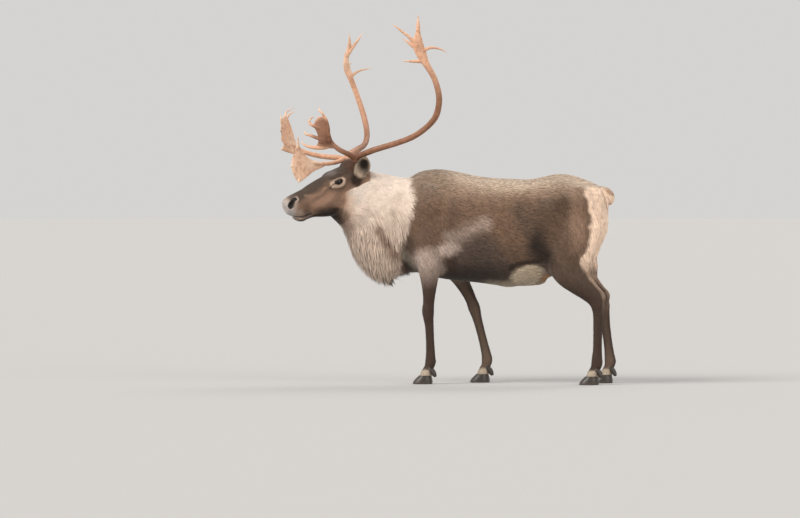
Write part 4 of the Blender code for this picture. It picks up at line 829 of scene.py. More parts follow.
# marks laid on in turn: colour, strength, then the place, half sizes, turn and softness of a spot,
# or the path of a line and the distances from it between which it fades
marks = {
    "flank": [
        ("brownDark", 0.35, (-0.08, 1.08), (0.1, 0.09), 0, 0.7),
        ("brownDark", 0.42, (0.6, 0.84), (0.15, 0.2), 0, 0.7),
        ("brownDark", 0.35, (-0.1, 0.82), (0.085, 0.1), 0, 0.7),
        ("brownDark", 0.35, (0.035, 0.86), (0.04, 0.13), -10, 0.7),
        ("stripe", 0.6, ((0.03, 0.785), (0.11, 0.812), (0.2, 0.862)), 0.004, 0.072),
        ("flankDark", 0.85, (0.165, 0.68), (0.13, 0.13), 10, 0.55),
        ("flankDark", 0.7, (0.3, 0.6), (0.12, 0.06), 0, 0.45),
        # painted shade in the hollow between the foreleg and the belly
        ("fold", 0.75, (0.145, 0.58), (0.15, 0.05), 0, 0.6),
        # painted shade along the groove before the thigh, here and in the next two marks
        ("brownDark", 0.75, ((0.395, 0.93), *thighFold), 0.01, 0.085),
        ("fold", 0.95, thighFold[2:], 0.014, 0.072),
        ("fold", 0.55, (0.495, 0.8), (0.04, 0.055), -15, 0.7),
        ("haunchSpot", 0.95, (0.62, 0.96), (0.05, 0.052), -25, 0.6),
        ("haunchSpot", 0.75, (0.535, 0.915), (0.06, 0.065), 0, 0.7),
        ("haunchPale", 0.5, (0.705, 0.85), (0.045, 0.13), 4, 0.7),
        ("belly", 0.95, (0.44, 0.59), (0.098, 0.052), 14, 0.22)],
    "elbow": [
        # painted shade along the underside of the belly
        ("fold", 0.8, bellyLine, 0.004, 0.02),
        ("sheath", 0.85, (0.54, 0.57), (0.026, 0.022), 0, 0.6),
        ("elbow", 0.9, (-0.108, 0.65), (0.08, 0.078), 8, 0.55),
        ("elbow", 1, (0.01, 0.726), (0.056, 0.036), 12, 0.6),
        # painted shade in the hollow behind the elbow
        ("fold", 0.48, (0.03, 0.615), (0.058, 0.062), 0, 0.4)],
    "neck": [
        # painted shade in the furrows of the neck's hair
        ("crease", 0.85, ((-0.37, 0.86), (-0.335, 0.795), (-0.27, 0.705), (-0.184, 0.61)), 0.004, 0.034),
        ("crease", 0.22, ((-0.25, 1.02), (-0.29, 0.9), (-0.33, 0.81)), 0.004, 0.04)],
    "chest": [
        # painted shade: under the jaw on the throat, and down the front of the chest between the mane and the
        # foreleg
        ("crease", 0.8, (-0.536, 0.872), (0.03, 0.06), 10, 0.7),
        ("brownDark", 0.8, (-0.205, 0.745), (0.042, 0.052), 0, 0.6),
        ("chestDark", 0.92, ((-0.225, 0.7), (-0.195, 0.635), (-0.165, 0.585)), 0.012, 0.038),
        ("fold", 0.75, ((-0.232, 0.655), (-0.195, 0.615), (-0.16, 0.58)), 0.004, 0.024)],
    "cheek": [
        ("cheekPale", 1, (0.205, -0.045), (0.1, 0.036), 10, 0.6),
        ("crown", 0.45, (0.225, -0.008), (0.06, 0.014), -12, 0.7),
        ("crown", 0.75, (0.01, 0.012), (0.05, 0.05), 0, 0.6)],
    "face": [
        ("jawDark", 0.85, (0.013, -0.017), (0.024, 0.04), 0, 0.5),
        ("cheekPale", 0.45, noseFold, 0.002, 0.014),
        ("crown", 0.45, (0.325, -0.04), (0.026, 0.034), 0, 0.6)],
}


def mixed(colour, name, share):
    return blendRows(colour, hide[name], share)


def nearLine(u, v, path, inner, outer):
    return fade(pathGap(u, v, path), inner, outer)


def lay(colour, u, v, part, over=1.0):
    for name, share, *form in marks[part]:
        mask = spot(u, v, *form) if len(form) == 4 else nearLine(u, v, *form)
        colour = mixed(colour, name, mask * share * over)
    return colour


def pastEdge(u, v, edge):  # how far u is past the edge at this height
    return u - np.interp(v, *zip(*edge))


def trunkColour(points, normals):
    u, v = flankPlaces(points)
    u = u + wobble(points, 0.1, 11) * 0.006
    v = v + wobble(points, 0.1, 12) * 0.006
    colour = np.tile(hide["brown"], (len(points), 1))
    colour = mixed(colour, "backPale", soft(v, 0.93, 1.08) * 0.56)
    # painted highlight: the upward-facing hair along the top of the back is made paler, as if lit from above
    litTop = soft(normals[:, 2], 0.45, 0.9) * soft(v, 0.98, 1.06)
    litTop *= 1 - 0.55 * spot(u, v, (-0.08, 1.11), (0.1, 0.07), 0, 0.7)  # less over the withers
    colour = mixed(colour, "topHighlight", litTop * 0.55)
    # painted shade: the lower trunk darker toward the belly, where little light reaches from below
    colour = mixed(colour, "brownDark", fade(v, 0.62, 0.86) * 0.5)
    colour = lay(colour, u, v, "flank")
    under = fade(np.abs(points[:, 1]), 0.1, 0.17) * fade(v, 0.53, 0.575) * soft(points[:, 0], 0.16, 0.3)
    colour = mixed(colour, "belly", under * 0.7)
    colour = lay(colour, u, v, "elbow")
    cream = fade(pastEdge(u, v, neckEdge) + wobble(points, 0.045, 13) * 0.005, -0.02, 0.018)
    # painted shade: the neck's cream turns darker downward, toward the mane
    neckTone = blendRows(hide["cream"][None], hide["maneShade"], fade(v, 0.74, 1.16))
    colour = blendRows(colour, neckTone, cream)
    colour = lay(colour, u, v, "neck", cream)
    colour = lay(colour, u, v, "chest")
    white = soft(pastEdge(u, v, rumpEdge) + wobble(points, 0.05, 14) * 0.005, -0.02, 0.012)
    white = white * soft(v, 0.575, 0.63) * fade(v, 1.05, 1.072)
    colour = mixed(colour, "rump", white)
    colour = colour * (1 - 0.15 * white * soft(v, 0.86, 1.0))[:, None]  # a little darker toward its top
    outer = soft(normals[:, 0] * 0.3 + normals[:, 2] * 0.95, 0.45, 0.8) * soft(points[:, 2], 1.005, 1.03)
    return mixed(colour, "tailTop", tailShare(points) * outer * 0.85)


def legColour(points):
    u, v = flankPlaces(points)
    hind = soft(points[:, 0], 0.5, 0.6)
    colour = np.tile(hide["leg"], (len(points), 1))
    colour = mixed(colour, "legPale", soft(v, 0.46, 0.62) * 0.22)
    colour = mixed(colour, "legPale", fade(np.abs(points[:, 1]), 0.105, 0.125) * 0.5)
    colour = mixed(colour, "elbow", soft(v, 0.5, 0.62) * (1 - hind) * 0.6)
    colour = mixed(colour, "tendon", hind * nearLine(u, v, legRear, 0.006, 0.02) * soft(v, 0.34, 0.56) * 0.9)
    return mixed(colour, "sock", fade(np.abs(v - 0.058), 0.01, 0.026) * 0.75)


def headColour(points):
    a, s, c = headPlaces(points)
    a = a + wobble(points, 0.05, 21) * 0.003
    c = c + wobble(points, 0.05, 22) * 0.003
    side = np.abs(s)
    colour = np.tile(hide["cheek"], (len(points), 1))
    colour = lay(colour, a, c, "cheek")
    colour = mixed(colour, "crown", soft(c + (0.12 - a) * 0.1, 0.02, 0.052) * 0.9)
    onNose = soft(a, 0.14, 0.2) * soft(c - 0.008 + (a - 0.2) * 0.08, 0.0, 0.028)
    colour = mixed(colour, "bridge", onNose * 0.95)
    colour = lay(colour, a, c, "face")
    jawEdge = np.interp(a, (0.05, 0.12, 0.2, 0.3, 0.36), (-0.152, -0.13, -0.092, -0.084, -0.092))
    colour = mixed(colour, "jawDark", fade(c - jawEdge, -0.014, 0.012))
    # painted sheen: a pale reflection of the sky on the forehead's hair
    sheen = spot(a, c, (0.1, 0.082), (0.04, 0.018), -10, 0.6) * fade(side, 0.05, 0.075)
    colour = mixed(colour, "crownSheen", sheen * 0.95)
    colour = mixed(colour, "crown", nearLine(a, c, jawLine, 0.006, 0.03) * 0.35)
    muzzle = soft(a + c * 0.3 + wobble(points, 0.02, 24) * 0.003, 0.345, 0.392)
    muzzle = np.maximum(muzzle, soft(a, 0.325, 0.365) * fade(c, -0.04, -0.016) * 0.75)
    rim = fade(nostrilShare(points), 1.7, 2.8) * soft(side, 0.02, 0.03)
    overLip = fade(-c, 0.056, 0.076)
    colour = mixed(colour, "muzzleWarm", np.maximum(muzzle * 0.9, rim * 0.85) * overLip)
    colour = mixed(colour, "muzzle", soft(a - c * 0.15, 0.385, 0.412) * overLip * 0.9)
    onBridge = soft(c + np.clip(a - 0.33, 0, 1) * 0.25, 0.04, 0.056) * fade(a, 0.375, 0.4)
    colour = mixed(colour, "bridge", onBridge * 0.8)
    under = soft(-c, 0.066, 0.08)
    colour = mixed(colour, "chin", soft(a, 0.29, 0.32) * under * 0.9)
    colour = mixed(colour, "lipPale", soft(a, 0.325, 0.355) * under * fade(-c, 0.078, 0.09) * 0.8)
    colour = mixed(colour, "jawDark", soft(a, 0.29, 0.32) * soft(-c, 0.09, 0.103) * 0.95)
    colour = mixed(colour, "lip", nearLine(a, c, lipLine, 0.0025, 0.0065) * 0.9)
    colour = mixed(colour, "nostril", fade(nostrilShare(points), 0.85, 1.25) * soft(side, 0.016, 0.024))
    onSide = soft(side, 0.03, 0.045)
    colour = mixed(colour, "crown", spot(a, c, (0.108, 0.014), (0.058, 0.042), 8, 0.35) * onSide * 0.65)
    ring = spot(a, c, (0.108, 0.015), (0.045, 0.028), 8, 0.16) * (1 - 0.5 * soft(c, 0.027, 0.034))
    colour = mixed(colour, "eyeRing", ring * onSide)
    colour = mixed(colour, "tear", nearLine(a, c, tearLine, 0.0015, 0.0055) * onSide * 0.85)
    colour = mixed(colour, "lip", fade(almondShare(points), 1.26, 1.48))
    edge = np.interp(c, *zip(*faceEdge)) + wobble(points, 0.03, 23) * 0.006
    past = (a - edge) / np.interp(c, (-0.2, -0.1, 0.0), (0.06, 0.036, 0.024))
    colour = mixed(colour, "behindCheek", fade(past, -0.9, 1.3) * 0.8)
    colour = mixed(colour, "cream", fade(past, -1.5, 0.6))
    for hand in (1, -1):
        colour = mixed(colour, "burrHair", fade(gapTo(points, burrFoot(hand)[0]), 0.045, 0.075))
    return colour


def earColour(points, normals, colour):
    for hand in (1, -1):
        share, off = earPlaces(points, hand)
        half = np.interp(share, [row[0] for row in earRings], [row[1] for row in earRings])
        faces = np.array(earFace(hand).normalized())
        base, tip = earLine(hand)
        across = np.cross(np.array((tip - base).normalized()), faces)
        aside = (points - np.array(base)) @ across / np.maximum(half, 0.004)
        inside = soft(normals @ faces, 0.0, 0.35)
        tone = np.tile(hide["earBack"], (len(points), 1))
        tone = mixed(tone, "crown", fade(share, 0.1, 0.6) * 0.6)
        tone = mixed(tone, "earRim", inside)
        # the inside of the ear: its own dark hair, and painted shade deep in the cup
        tone = mixed(tone, "earInside", inside * spot(share, aside, (0.57, -0.08), (0.34, 0.66), 0, 0.5))
        tone = mixed(tone, "earInside", inside * spot(share, aside, (0.3, 0.55), (0.16, 0.35), 0, 0.6) * 0.7)
        tone = mixed(tone, "earRim", soft(np.maximum(np.abs(aside), share * 1.02), 0.76, 0.9) * 0.9)
        colour = blendRows(colour, tone, soft(share, 0.05, 0.16) * fade(off - half, 0.004, 0.012))
    return colour


def hideColour(points, normals):
    colour = blendRows(trunkColour(points, normals), legColour(points), legShare(points))
    head = soft(aheadOfNape(points), -0.012, 0.004)
    near = head > 0
    if near.any():
        tone = earColour(points[near], normals[near], headColour(points[near]))
        colour[near] = blendRows(colour[near], tone, head[near])
    return colour


# lie of the coat: which way the hair points at a place on the skin
def lieAt(points, normals):
    x, y, z = points.T
    lie = np.tile((1.0, 0.0, -0.22), (len(points), 1))
    lie = blendRows(lie, (0.55, 0, -0.8), spot(x, z, (-0.02, 0.78), (0.13, 0.2), 0, 0.6))
    lie = blendRows(lie, (0.35, 0, -1.0), soft(x, 0.55, 0.74) * fade(z, 0.98, 1.1) * 0.9)
    lie = blendRows(lie, (0.15, 0, -1.0), soft(x, 0.76, 0.84))
    lie = blendRows(lie, (1.0, 0, 0.05), fade(z, 0.53, 0.6) * soft(x, 0.1, 0.2) * fade(x, 0.55, 0.62))
    onNeck = fade(x, -0.25, -0.1)
    lie = blendRows(lie, (0.55, 0.05, -0.62), onNeck)
    lie = blendRows(lie, (0.9, 0.1, -0.3), onNeck * soft(normals[:, 2], 0.35, 0.8))
    lie = blendRows(lie, (0.18, 0.0, -1.0), maneShare(points) * fade(z, 0.8, 1.0))
    lie = blendRows(lie, (0.02, 0, -1.0), legShare(points))
    back = -np.array(noseAxis)
    _, s, c = headPlaces(points)
    head = soft(aheadOfNape(points), -0.03, 0.01)
    turned = back[None, :] + np.outer(np.sign(s) * soft(np.abs(s), 0.01, 0.05) * 0.3, np.array(flankAxis)) \
        - np.outer(soft(-c, 0.02, 0.12) * 0.45 - soft(c, 0.0, 0.04) * 0.2, np.array(crownAxis))
    lie = blendRows(lie, turned, head)
    for hand in (1, -1):
        base, tip = earLine(hand)
        share, off = earPlaces(points, hand)
        onEar = soft(share, 0.0, 0.12) * fade(off, 0.05, 0.06)
        lie = blendRows(lie, (tip - base).normalized(), onEar)
    lie = blendRows(lie, (0.12, 0, -1.0), tailShare(points))
    lie += np.stack([wobble(points, 0.16, seed) for seed in (31, 32, 33)], 1) * 0.1
    return alongSkin(lie, normals)


# coat: thin flat locks lying over the skin, roots sunk, each with a ridge down its back
def skinTree(*objs):
    points, faces = [], []
    for obj in objs:
        first = len(points)
        points += [v.co for v in obj.data.vertices]
        faces += [[first + i for i in p.vertices] for p in obj.data.polygons]
    return BVHTree.FromPolygons(points, faces)


def indexSkin(obj, *others):  # the others are lain on too
    mesh = obj.data
    mesh.calc_loop_triangles()
    corners = np.empty(len(mesh.loop_triangles) * 3, np.int32)
    mesh.loop_triangles.foreach_get("vertices", corners)
    corners = corners.reshape(-1, 3)
    points = pointsOf(mesh)
    a, b, c = (points[corners[:, i]] for i in range(3))
    areas = np.linalg.norm(np.cross(b - a, c - a), axis=1) / 2
    return {"points": points, "normals": normalsOf(mesh), "corners": corners, "areas": areas,
            "middles": (a + b + c) / 3, "tree": skinTree(obj, *others)}


def scatterRoots(skin, count, weights, seed):  # roots and skin normals, evenly over the weighted area
    draw = np.random.default_rng(seed)
    amounts = np.cumsum(skin["areas"] * weights)
    marks = (np.arange(count) + draw.random(count)) / count * amounts[-1]
    corners = skin["corners"][np.minimum(np.searchsorted(amounts, marks), len(amounts) - 1)]
    u, v = draw.random(count), draw.random(count)
    over = u + v > 1
    u[over], v[over] = 1 - u[over], 1 - v[over]
    shares = np.stack([1 - u - v, u, v], 1)[:, :, None]
    return (skin["points"][corners] * shares).sum(1), unitRows((skin["normals"][corners] * shares).sum(1))


def settle(skin, points, lifts, free):  # put the points at their lift over the skin; free ones may hang clear
    places, normals = points.copy(), np.zeros_like(points)
    for i, point in enumerate(points):
        spotOn, normal, _, _ = skin["tree"].find_nearest(point)
        normals[i] = normal
        if not (free[i] and (Vector(point) - spotOn).dot(normal) > lifts[i]):
            places[i] = spotOn + normal * lifts[i]
    return places, normals


sheetParts = {"head": ((0.02, 0.02), (0.3, 0.3)), "ear": ((0.02, 0.32), (0.14, 0.44)),
              "leg": ((0.32, 0.02), (0.98, 0.3)), "neck": ((0.16, 0.32), (0.44, 0.98)),
              "trunk": ((0.46, 0.32), (0.98, 0.98))}


def unwrapAt(points, region):  # a place in the sheet for each root, from the skin's own shape
    x, y, z = points.T
    if region in ("head", "ear"):
        a, s, c = headPlaces(points)
        u, angle = (a + 0.12) / 0.58, np.arctan2(s, c + 0.04)
    elif region == "neck":
        u, angle = (x + 0.6) / 0.5, np.arctan2(y + 0.02, z - 0.9)
    else:
        u, angle = (x + 0.3) / 1.25, np.arctan2(y, z - 0.84)
    v = angle / (2 * math.pi) + 0.5
    if region == "leg":
        number = (x > 0.35) * 2 + (y > 0)
        centre = np.where(x > 0.35, 0.78, -0.07)
        u = (number + np.arctan2(np.abs(y) - 0.14, x - centre) / (2 * math.pi) + 0.5) / 4
        v = z / 0.7
    low, high = np.array(sheetParts[region])
    return low + np.clip(np.stack([u, v], 1), 0, 1) * (high - low)


lockShape = {
    "widths": (0.8, 1.2),  # the least and most of its style's width
    "lifts": (0.45, 1.0),
    "rootWidth": 0.75,
    "taper": (0.45, 1.6),  # how much it has narrowed at its last ring, and how late
    "sideTurn": 0.55,
    "streak": 3.2,  # width of a streak of tone, in locks
    "brightest": 0.95,
    "patch": 0.003,  # of the sheet, for one lock
}


def growTufts(skin, style, roots, normals, seed):
    draw = np.random.default_rng(seed)
    count = len(roots)
    rings = style["rings"]
    falling = "fall" in style
    size = draw.uniform(1 - style["uneven"], 1 + style["uneven"], count) * style["scale"]
    length = style["length"] * size
    wide = style["width"] * draw.uniform(*lockShape["widths"], count) * np.sqrt(size)
    lie = alongSkin(unitRows(lieAt(roots, normals) + draw.normal(size=(count, 3)) * style["scatter"]), normals)
    path, facesUp = [roots - normals * style["sink"]], [normals]
    way, place = lie, roots
    top = style["lift"] * draw.uniform(*lockShape["lifts"], count)
    free = draw.random(count) < style.get("loose", 0)
    for step in range(1, rings + 1):
        share = step / rings
        place = place + way * (length / rings)[:, None]
        rise = share ** 0.8 * (1 - style["dip"] * share ** 3)
        place, up = settle(skin, place, top * rise + style["root"], free)
        path.append(place)
        facesUp.append(unitRows(up))
        way = unitRows(place - path[-2])
        if falling:
            way = unitRows(way * (1 - style["fall"]) + np.array((0.04, 0, -1.0)) * style["fall"])
        way = unitRows(way) if falling else alongSkin(way, up)
    points, shades, tilts = [], [], []
    taper, late = lockShape["taper"]
    for step in range(rings):
        ahead = unitRows(path[step + 1] - path[max(step - 1, 0)])
        up = alongSkin(facesUp[step], ahead)
        across = np.cross(up, ahead)
        share = step / rings
        half = (wide * 0.5 * (1 - taper * share ** late) * (1 if step else lockShape["rootWidth"]))[:, None]
        ridge = up * (half * style["ridge"])
        points += [path[step] + across * half, path[step] - across * half, path[step] + ridge]
        side = across * lockShape["sideTurn"]
        tilts += [unitRows(up + side), unitRows(up - side), up]
        shades += [np.full(count, share)] * 3
    points, tilts, shades = points + [path[-1]], tilts + [facesUp[-1]], shades + [np.ones(count)]
    points = np.stack(points, 1)
    tilts = np.stack(tilts, 1) * (1 - style["sheet"]) + normals[:, None, :] * style["sheet"]
    perTuft = rings * 3 + 1
    faces = []
    for a in range(0, rings * 3 - 3, 3):
        b = a + 3
        faces += [(a, a + 2, b + 2), (a, b + 2, b), (a + 2, a + 1, b + 1), (a + 2, b + 1, b + 2),
                  (a + 1, a, b), (a + 1, b, b + 1)]
    tip = rings * 3
    faces += [(tip - 3, tip - 1, tip), (tip - 1, tip - 2, tip), (tip - 2, tip - 3, tip), (2, 0, 1)]
    faces = (np.arange(count)[:, None, None] * perTuft + np.array(faces)[None]).reshape(-1, 3)
    shadeAt = style["rootTone"] + (style["tipTone"] - style["rootTone"]) * np.stack(shades, 1) ** 0.8
    colour = hideColour(path[1], normals)[:, None, :] * shadeAt[:, :, None]
    flat = roots - lie * dots(roots, lie) * 0.75  # streaks that follow the lie
    tone = draw.normal(size=count) * style["tone"]
    tone = tone + wobble(flat, style["width"] * lockShape["streak"], seed + 5) * style["streak"]
    colour = colour * (1 + tone)[:, None, None]
    peak = np.maximum(colour.max(axis=-1, keepdims=True), 0.01)
    colour = colour * np.minimum(1, lockShape["brightest"] / peak)
    return {"points": points.reshape(-1, 3), "faces": faces, "normals": unitRows(tilts.reshape(-1, 3)),
            "colour": colour.reshape(-1, 3), "perTuft": perTuft, "roots": roots,
            "sheet": unwrapAt(roots, style["sheetRegion"]), "count": count}


def coatPiece(name, grown, chosen):  # one mesh of the chosen locks
    per, faceCount = grown["perTuft"], len(grown["faces"]) // grown["count"]
    pointsAt = (chosen[:, None] * per + np.arange(per)).ravel()
    facesAt = (chosen[:, None] * faceCount + np.arange(faceCount)).ravel()
    shift = np.repeat(np.arange(len(chosen)) * per - chosen * per, faceCount)
    faces = grown["faces"][facesAt] + shift[:, None]
    mesh = bpy.data.meshes.new(name)
    mesh.vertices.add(len(pointsAt))
    setPoints(mesh, grown["points"][pointsAt])
    mesh.loops.add(faces.size)
    mesh.loops.foreach_set("vertex_index", faces.astype(np.int32).ravel())
    mesh.polygons.add(len(faces))
    mesh.polygons.foreach_set("loop_start", np.arange(0, faces.size, 3, dtype=np.int32))
    mesh.polygons.foreach_set("use_smooth", np.ones(len(faces), bool))
    mesh.update(calc_edges=True)
    setColour(mesh, "hideColour", grown["colour"][pointsAt])
    corner = faces % per
    along = (corner // 3) / (per // 3)
    side = np.where(corner == per - 1, 0.5, np.array([0.0, 1.0, 0.5])[corner % 3])
    places = grown["sheet"][chosen][faces // per] + np.stack([side - 0.5, along - 0.5], -1) * lockShape["patch"]
    mesh.uv_layers.new(name="OFBake").data.foreach_set("uv", places.astype(np.float32).ravel())
    mesh.normals_split_custom_set_from_vertices(grown["normals"][pointsAt].astype(np.float32))
    obj = bpy.data.objects.new(name, mesh)
    bpy.context.scene.collection.objects.link(obj)
    return obj


def coatPieces(name, grown, mostFaces=190000):
    number = max(1, math.ceil(len(grown["faces"]) / mostFaces))
    order = np.argsort(grown["roots"][:, 0] + grown["roots"][:, 2] * 0.01)
    return [coatPiece(f"{name}{k + 1}" if number > 1 else name, grown, np.sort(chosen))
            for k, chosen in enumerate(np.array_split(order, number))]


# finishes
def paint(code):
    return (*linear(code), 1.0)


def add(tree, kind, settings=None, **inputs):  # a node; an input is named, or i and its number
    made = tree.nodes.new(kind if "Node" in kind else "ShaderNode" + kind)
    for key, value in (settings or {}).items():
        setattr(made, key, value)
    for key, value in inputs.items():
        numbered = key[0] == "i" and key[1:].isdigit()
        socket = made.inputs[int(key[1:]) if numbered else key.replace("_", " ")]
        if isinstance(value, bpy.types.Node):  # its first output in use
            value = next(output for output in value.outputs if output.enabled)
        if isinstance(value, bpy.types.NodeSocket):
            tree.links.new(value, socket)
        else:
            socket.default_value = value
    return made


colourMix = {"data_type": "RGBA"}


def shaded(tree, colour, amount, least, most):  # the colour made darker or lighter by a noise's amount
    tone = add(tree, "MapRange", i0=amount, i1=0.3, i2=0.7, i3=least, i4=most)
    grey = add(tree, "CombineColor", i0=tone, i1=tone, i2=tone)
    return add(tree, "Mix", {**colourMix, "blend_type": "MULTIPLY"}, i0=1.0, i6=colour, i7=grey)


def guardHair(tree):  # dry guard hair: matte, mottled a little, a faint pale glow at grazing angles
    here = add(tree, "TexCoord").outputs["Object"]
    mottle = add(tree, "TexNoise", Vector=here, Scale=30.0, Detail=3.0)  # patches of 30 mm
    colour = shaded(tree, add(tree, "Attribute", {"attribute_name": "hideColour"}), mottle, 0.88, 1.1)
    # ten strands to a lock, 0.3 to 0.6 mm each: a real hair is 0.1 mm, drawn coarser so that it shows
    along = add(tree, "Mapping", Vector=add(tree, "UVMap", {"uv_map": "OFBake"}), Scale=(3300, 330, 1))
    strand = add(tree, "TexNoise", Vector=along, Scale=1.0, Detail=2.0)
    return add(tree, "BsdfPrincipled", Base_Color=shaded(tree, colour, strand, 0.8, 1.16), Roughness=0.62,
               Sheen_Weight=0.12, Sheen_Roughness=0.5, Specular_IOR_Level=0.2,
               Normal=add(tree, "Bump", Height=strand, Distance=0.0004, Strength=0.6))


def shortFur(tree):  # the short flat under coat: streaked along its lie, moist round nostrils, lips and lids
    lie = add(tree, "Attribute", {"attribute_name": "lie"}).outputs["Vector"]
    # streaks 2.4 mm wide and 11 mm long: tufts of the under coat, a little coarser than in life
    streak = add(tree, "TexNoise", Vector=lie, Scale=420.0, Detail=4.0, Roughness=0.6)
    colour = shaded(tree, add(tree, "Attribute", {"attribute_name": "hideColour"}), streak, 0.78, 1.1)
    moist = add(tree, "Attribute", {"attribute_name": "moist"}).outputs["Fac"]
    gloss = add(tree, "MapRange", i0=moist, i1=0.0, i2=1.0, i3=0.68, i4=0.3)
    return add(tree, "BsdfPrincipled", Base_Color=colour, Roughness=gloss, Sheen_Weight=0.12,
               Sheen_Roughness=0.5, Specular_IOR_Level=0.3,
               Normal=add(tree, "Bump", Height=streak, Distance=0.0009, Strength=0.8))


antlerTones = {"bone": "#94684f", "worn": "#7b533c", "groove": "#6d4733", "foot": "#6a4533", "palm": "#e0af90",
               "tip": "#ecd2b9", "vein": "#9c6f56"}


# the foot tone, besides darkening the bone's foot, also lays painted shade over the left palm's hollow web
def antlerBone(tree):  # dry bone: stained red brown in its grooves and at its foot, rubbed pale at the tips
    here = add(tree, "TexCoord").outputs["Object"]
    split = add(tree, "SeparateColor", Color=add(tree, "Attribute", {"attribute_name": "antlerMarks"})).outputs
    # stains 26 mm across, and the winding beds of the velvet's vessels, about 40 mm apart
    blotch = add(tree, "TexNoise", Vector=here, Scale=38.0, Detail=4.0, Roughness=0.6)
    veins = add(tree, "TexNoise", Vector=here, Scale=24.0, Detail=5.0, Roughness=0.65, Distortion=1.6)
    tone = paint(antlerTones["bone"])
    # the foot tone here also carries the painted shade over the left palm
    for source, low, high, most, name in (
            (blotch, 0.38, 0.66, 1.0, "worn"), (split[0], 0.5, 0.0, 0.75, "groove"),
            (split[2], 0.25, 1.0, 0.78, "foot"), (split[1], 0.15, 0.62, 0.85, "palm"),
            (split[1], 0.8, 1.0, 0.75, "tip"), (veins, 0.46, 0.64, 0.55, "vein")):
        amount = add(tree, "MapRange", i0=source, i1=low, i2=high, i3=0.0, i4=most)
        tone = add(tree, "Mix", colourMix, i0=amount, i6=tone, i7=paint(antlerTones[name]))
    swell = add(tree, "Bump", Height=veins, Distance=0.004, Strength=0.5)
    # pits 1.3 mm apart, a little coarser than the bone's own
    grain = add(tree, "TexNoise", Vector=here, Scale=800.0, Detail=3.0, Roughness=0.6)
    return add(tree, "BsdfPrincipled", Base_Color=tone, Roughness=0.55, Specular_IOR_Level=0.35,
               Normal=add(tree, "Bump", Height=grain, Distance=0.0003, Strength=0.7, Normal=swell))


def burrBone(tree):  # the coronet's knobs: the same bone, darker and pitted
    here = add(tree, "TexCoord").outputs["Object"]
    blotch = add(tree, "TexNoise", Vector=here, Scale=240.0, Detail=3.0)  # pits 4 mm apart
    tone = add(tree, "Mix", colourMix, i0=blotch, i6=paint("#6b4a37"), i7=paint("#a07c66"))
    return add(tree, "BsdfPrincipled", Base_Color=tone, Roughness=0.6,
               Normal=add(tree, "Bump", Height=blotch, Distance=0.0006, Strength=0.7))


def wetEye(tree):  # wet dark eye: brown iris and long black pupil under a clear wet coat
    split = add(tree, "SeparateColor", Color=add(tree, "Attribute", {"attribute_name": "eyeMarks"})).outputs
    tone = paint("#0d0907")
    for share, code in ((split[0], "#21150d"), (split[1], "#060505")):
        tone = add(tree, "Mix", colourMix, i0=share, i6=tone, i7=paint(code))
    return add(tree, "BsdfPrincipled", Base_Color=tone, Roughness=0.1, Coat_Weight=0.35, Coat_Roughness=0.02,
               Specular_IOR_Level=0.25)


def lidSkin(tree):  # lid skin: bare, dark and moist
    here = add(tree, "TexCoord").outputs["Object"]
    pores = add(tree, "TexNoise", Vector=here, Scale=1800.0, Detail=2.0)  # pores 0.6 mm apart
    return add(tree, "BsdfPrincipled", Base_Color=paint("#1d1511"), Roughness=0.3,
               Normal=add(tree, "Bump", Height=pores, Distance=0.0002, Strength=0.5))


def hoofHorn(tree):  # hoof horn: dark, growth rings about 4 mm apart, dusty at the sole
    here = add(tree, "TexCoord").outputs["Object"]
    growth = add(tree, "TexWave", {"wave_type": "BANDS", "bands_direction": "Z"}, Vector=here, Scale=80.0,
                 Distortion=3.0, Detail=2.0).outputs["Fac"]
    height = add(tree, "SeparateXYZ", Vector=here).outputs[2]
    dust = add(tree, "MapRange", i0=height, i1=0.016, i2=0.0, i3=0.0, i4=0.55)
    tone = paint("#221c18")
    for share, code in ((growth, "#3a312a"), (dust, "#5d5148")):
        tone = add(tree, "Mix", colourMix, i0=share, i6=tone, i7=paint(code))
    return add(tree, "BsdfPrincipled", Base_Color=tone, Roughness=0.42,
               Normal=add(tree, "Bump", Height=growth, Distance=0.0002, Strength=0.5))


def studioFloor(tree):  # matt painted floor
    return add(tree, "BsdfPrincipled", Base_Color=paint("#afafaf"), Roughness=0.9, Specular_IOR_Level=0.2)


def makeFinish(build):  # a material named for its finish
    material = bpy.data.materials.new(build.__name__)
    material.use_nodes = True
    material.node_tree.nodes.clear()
    add(material.node_tree, "OutputMaterial", Surface=build(material.node_tree))
    return material


builders = (guardHair, shortFur, antlerBone, burrBone, wetEye, lidSkin, hoofHorn, studioFloor)
finishes = {build.__name__: makeFinish(build) for build in builders}


def dress(obj, finish, nodes=(), smooth=True):
    obj.data.materials.clear()
    obj.data.materials.append(finishes[finish])
    if smooth:
        obj.data.polygons.foreach_set("use_smooth", np.ones(len(obj.data.polygons), bool))
    obj.data.transform(Matrix.Translation(toRow))
    obj.data.update()
    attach(obj, "root")
    if nodes:
        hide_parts(*nodes)


# antlers: each side one piece, its branches re-lofted finer and fused, with grooves along the beams
antlerSizes = {
    "voxel": 0.0026,
    "palmThick": 0.0055,
    "groove": 0.00045,
    "lumps": 0.0005,  # of the rough foot
    "relief": 0.0002,  # how far the whole surface is drawn in under them
    "coronet": [(-0.004, 0.02), (0.003, 0.0225), (0.009, 0.0245), (0.015, 0.0225), (0.022, 0.0185)],
    "beads": 30,
    "beadRing": (0.0242, 0.0085),  # its radius, and how far above the foot
    "beadLeast": (0.0024, 0.002, 0.0026),
    "beadMost": (0.0036, 0.0032, 0.0046),
    "beadStray": (0.001, 0.001, 0.003),
    "paleOver": {1: 0.3, -1: 0.46},  # how far down from the tips the paler bone reaches
    # painted shade over the left palm's hollow web
    "paintedPalmShade": ((0.226, 0.175, 1.355), 0.1),  # the left palm is darker around here, this far out
}


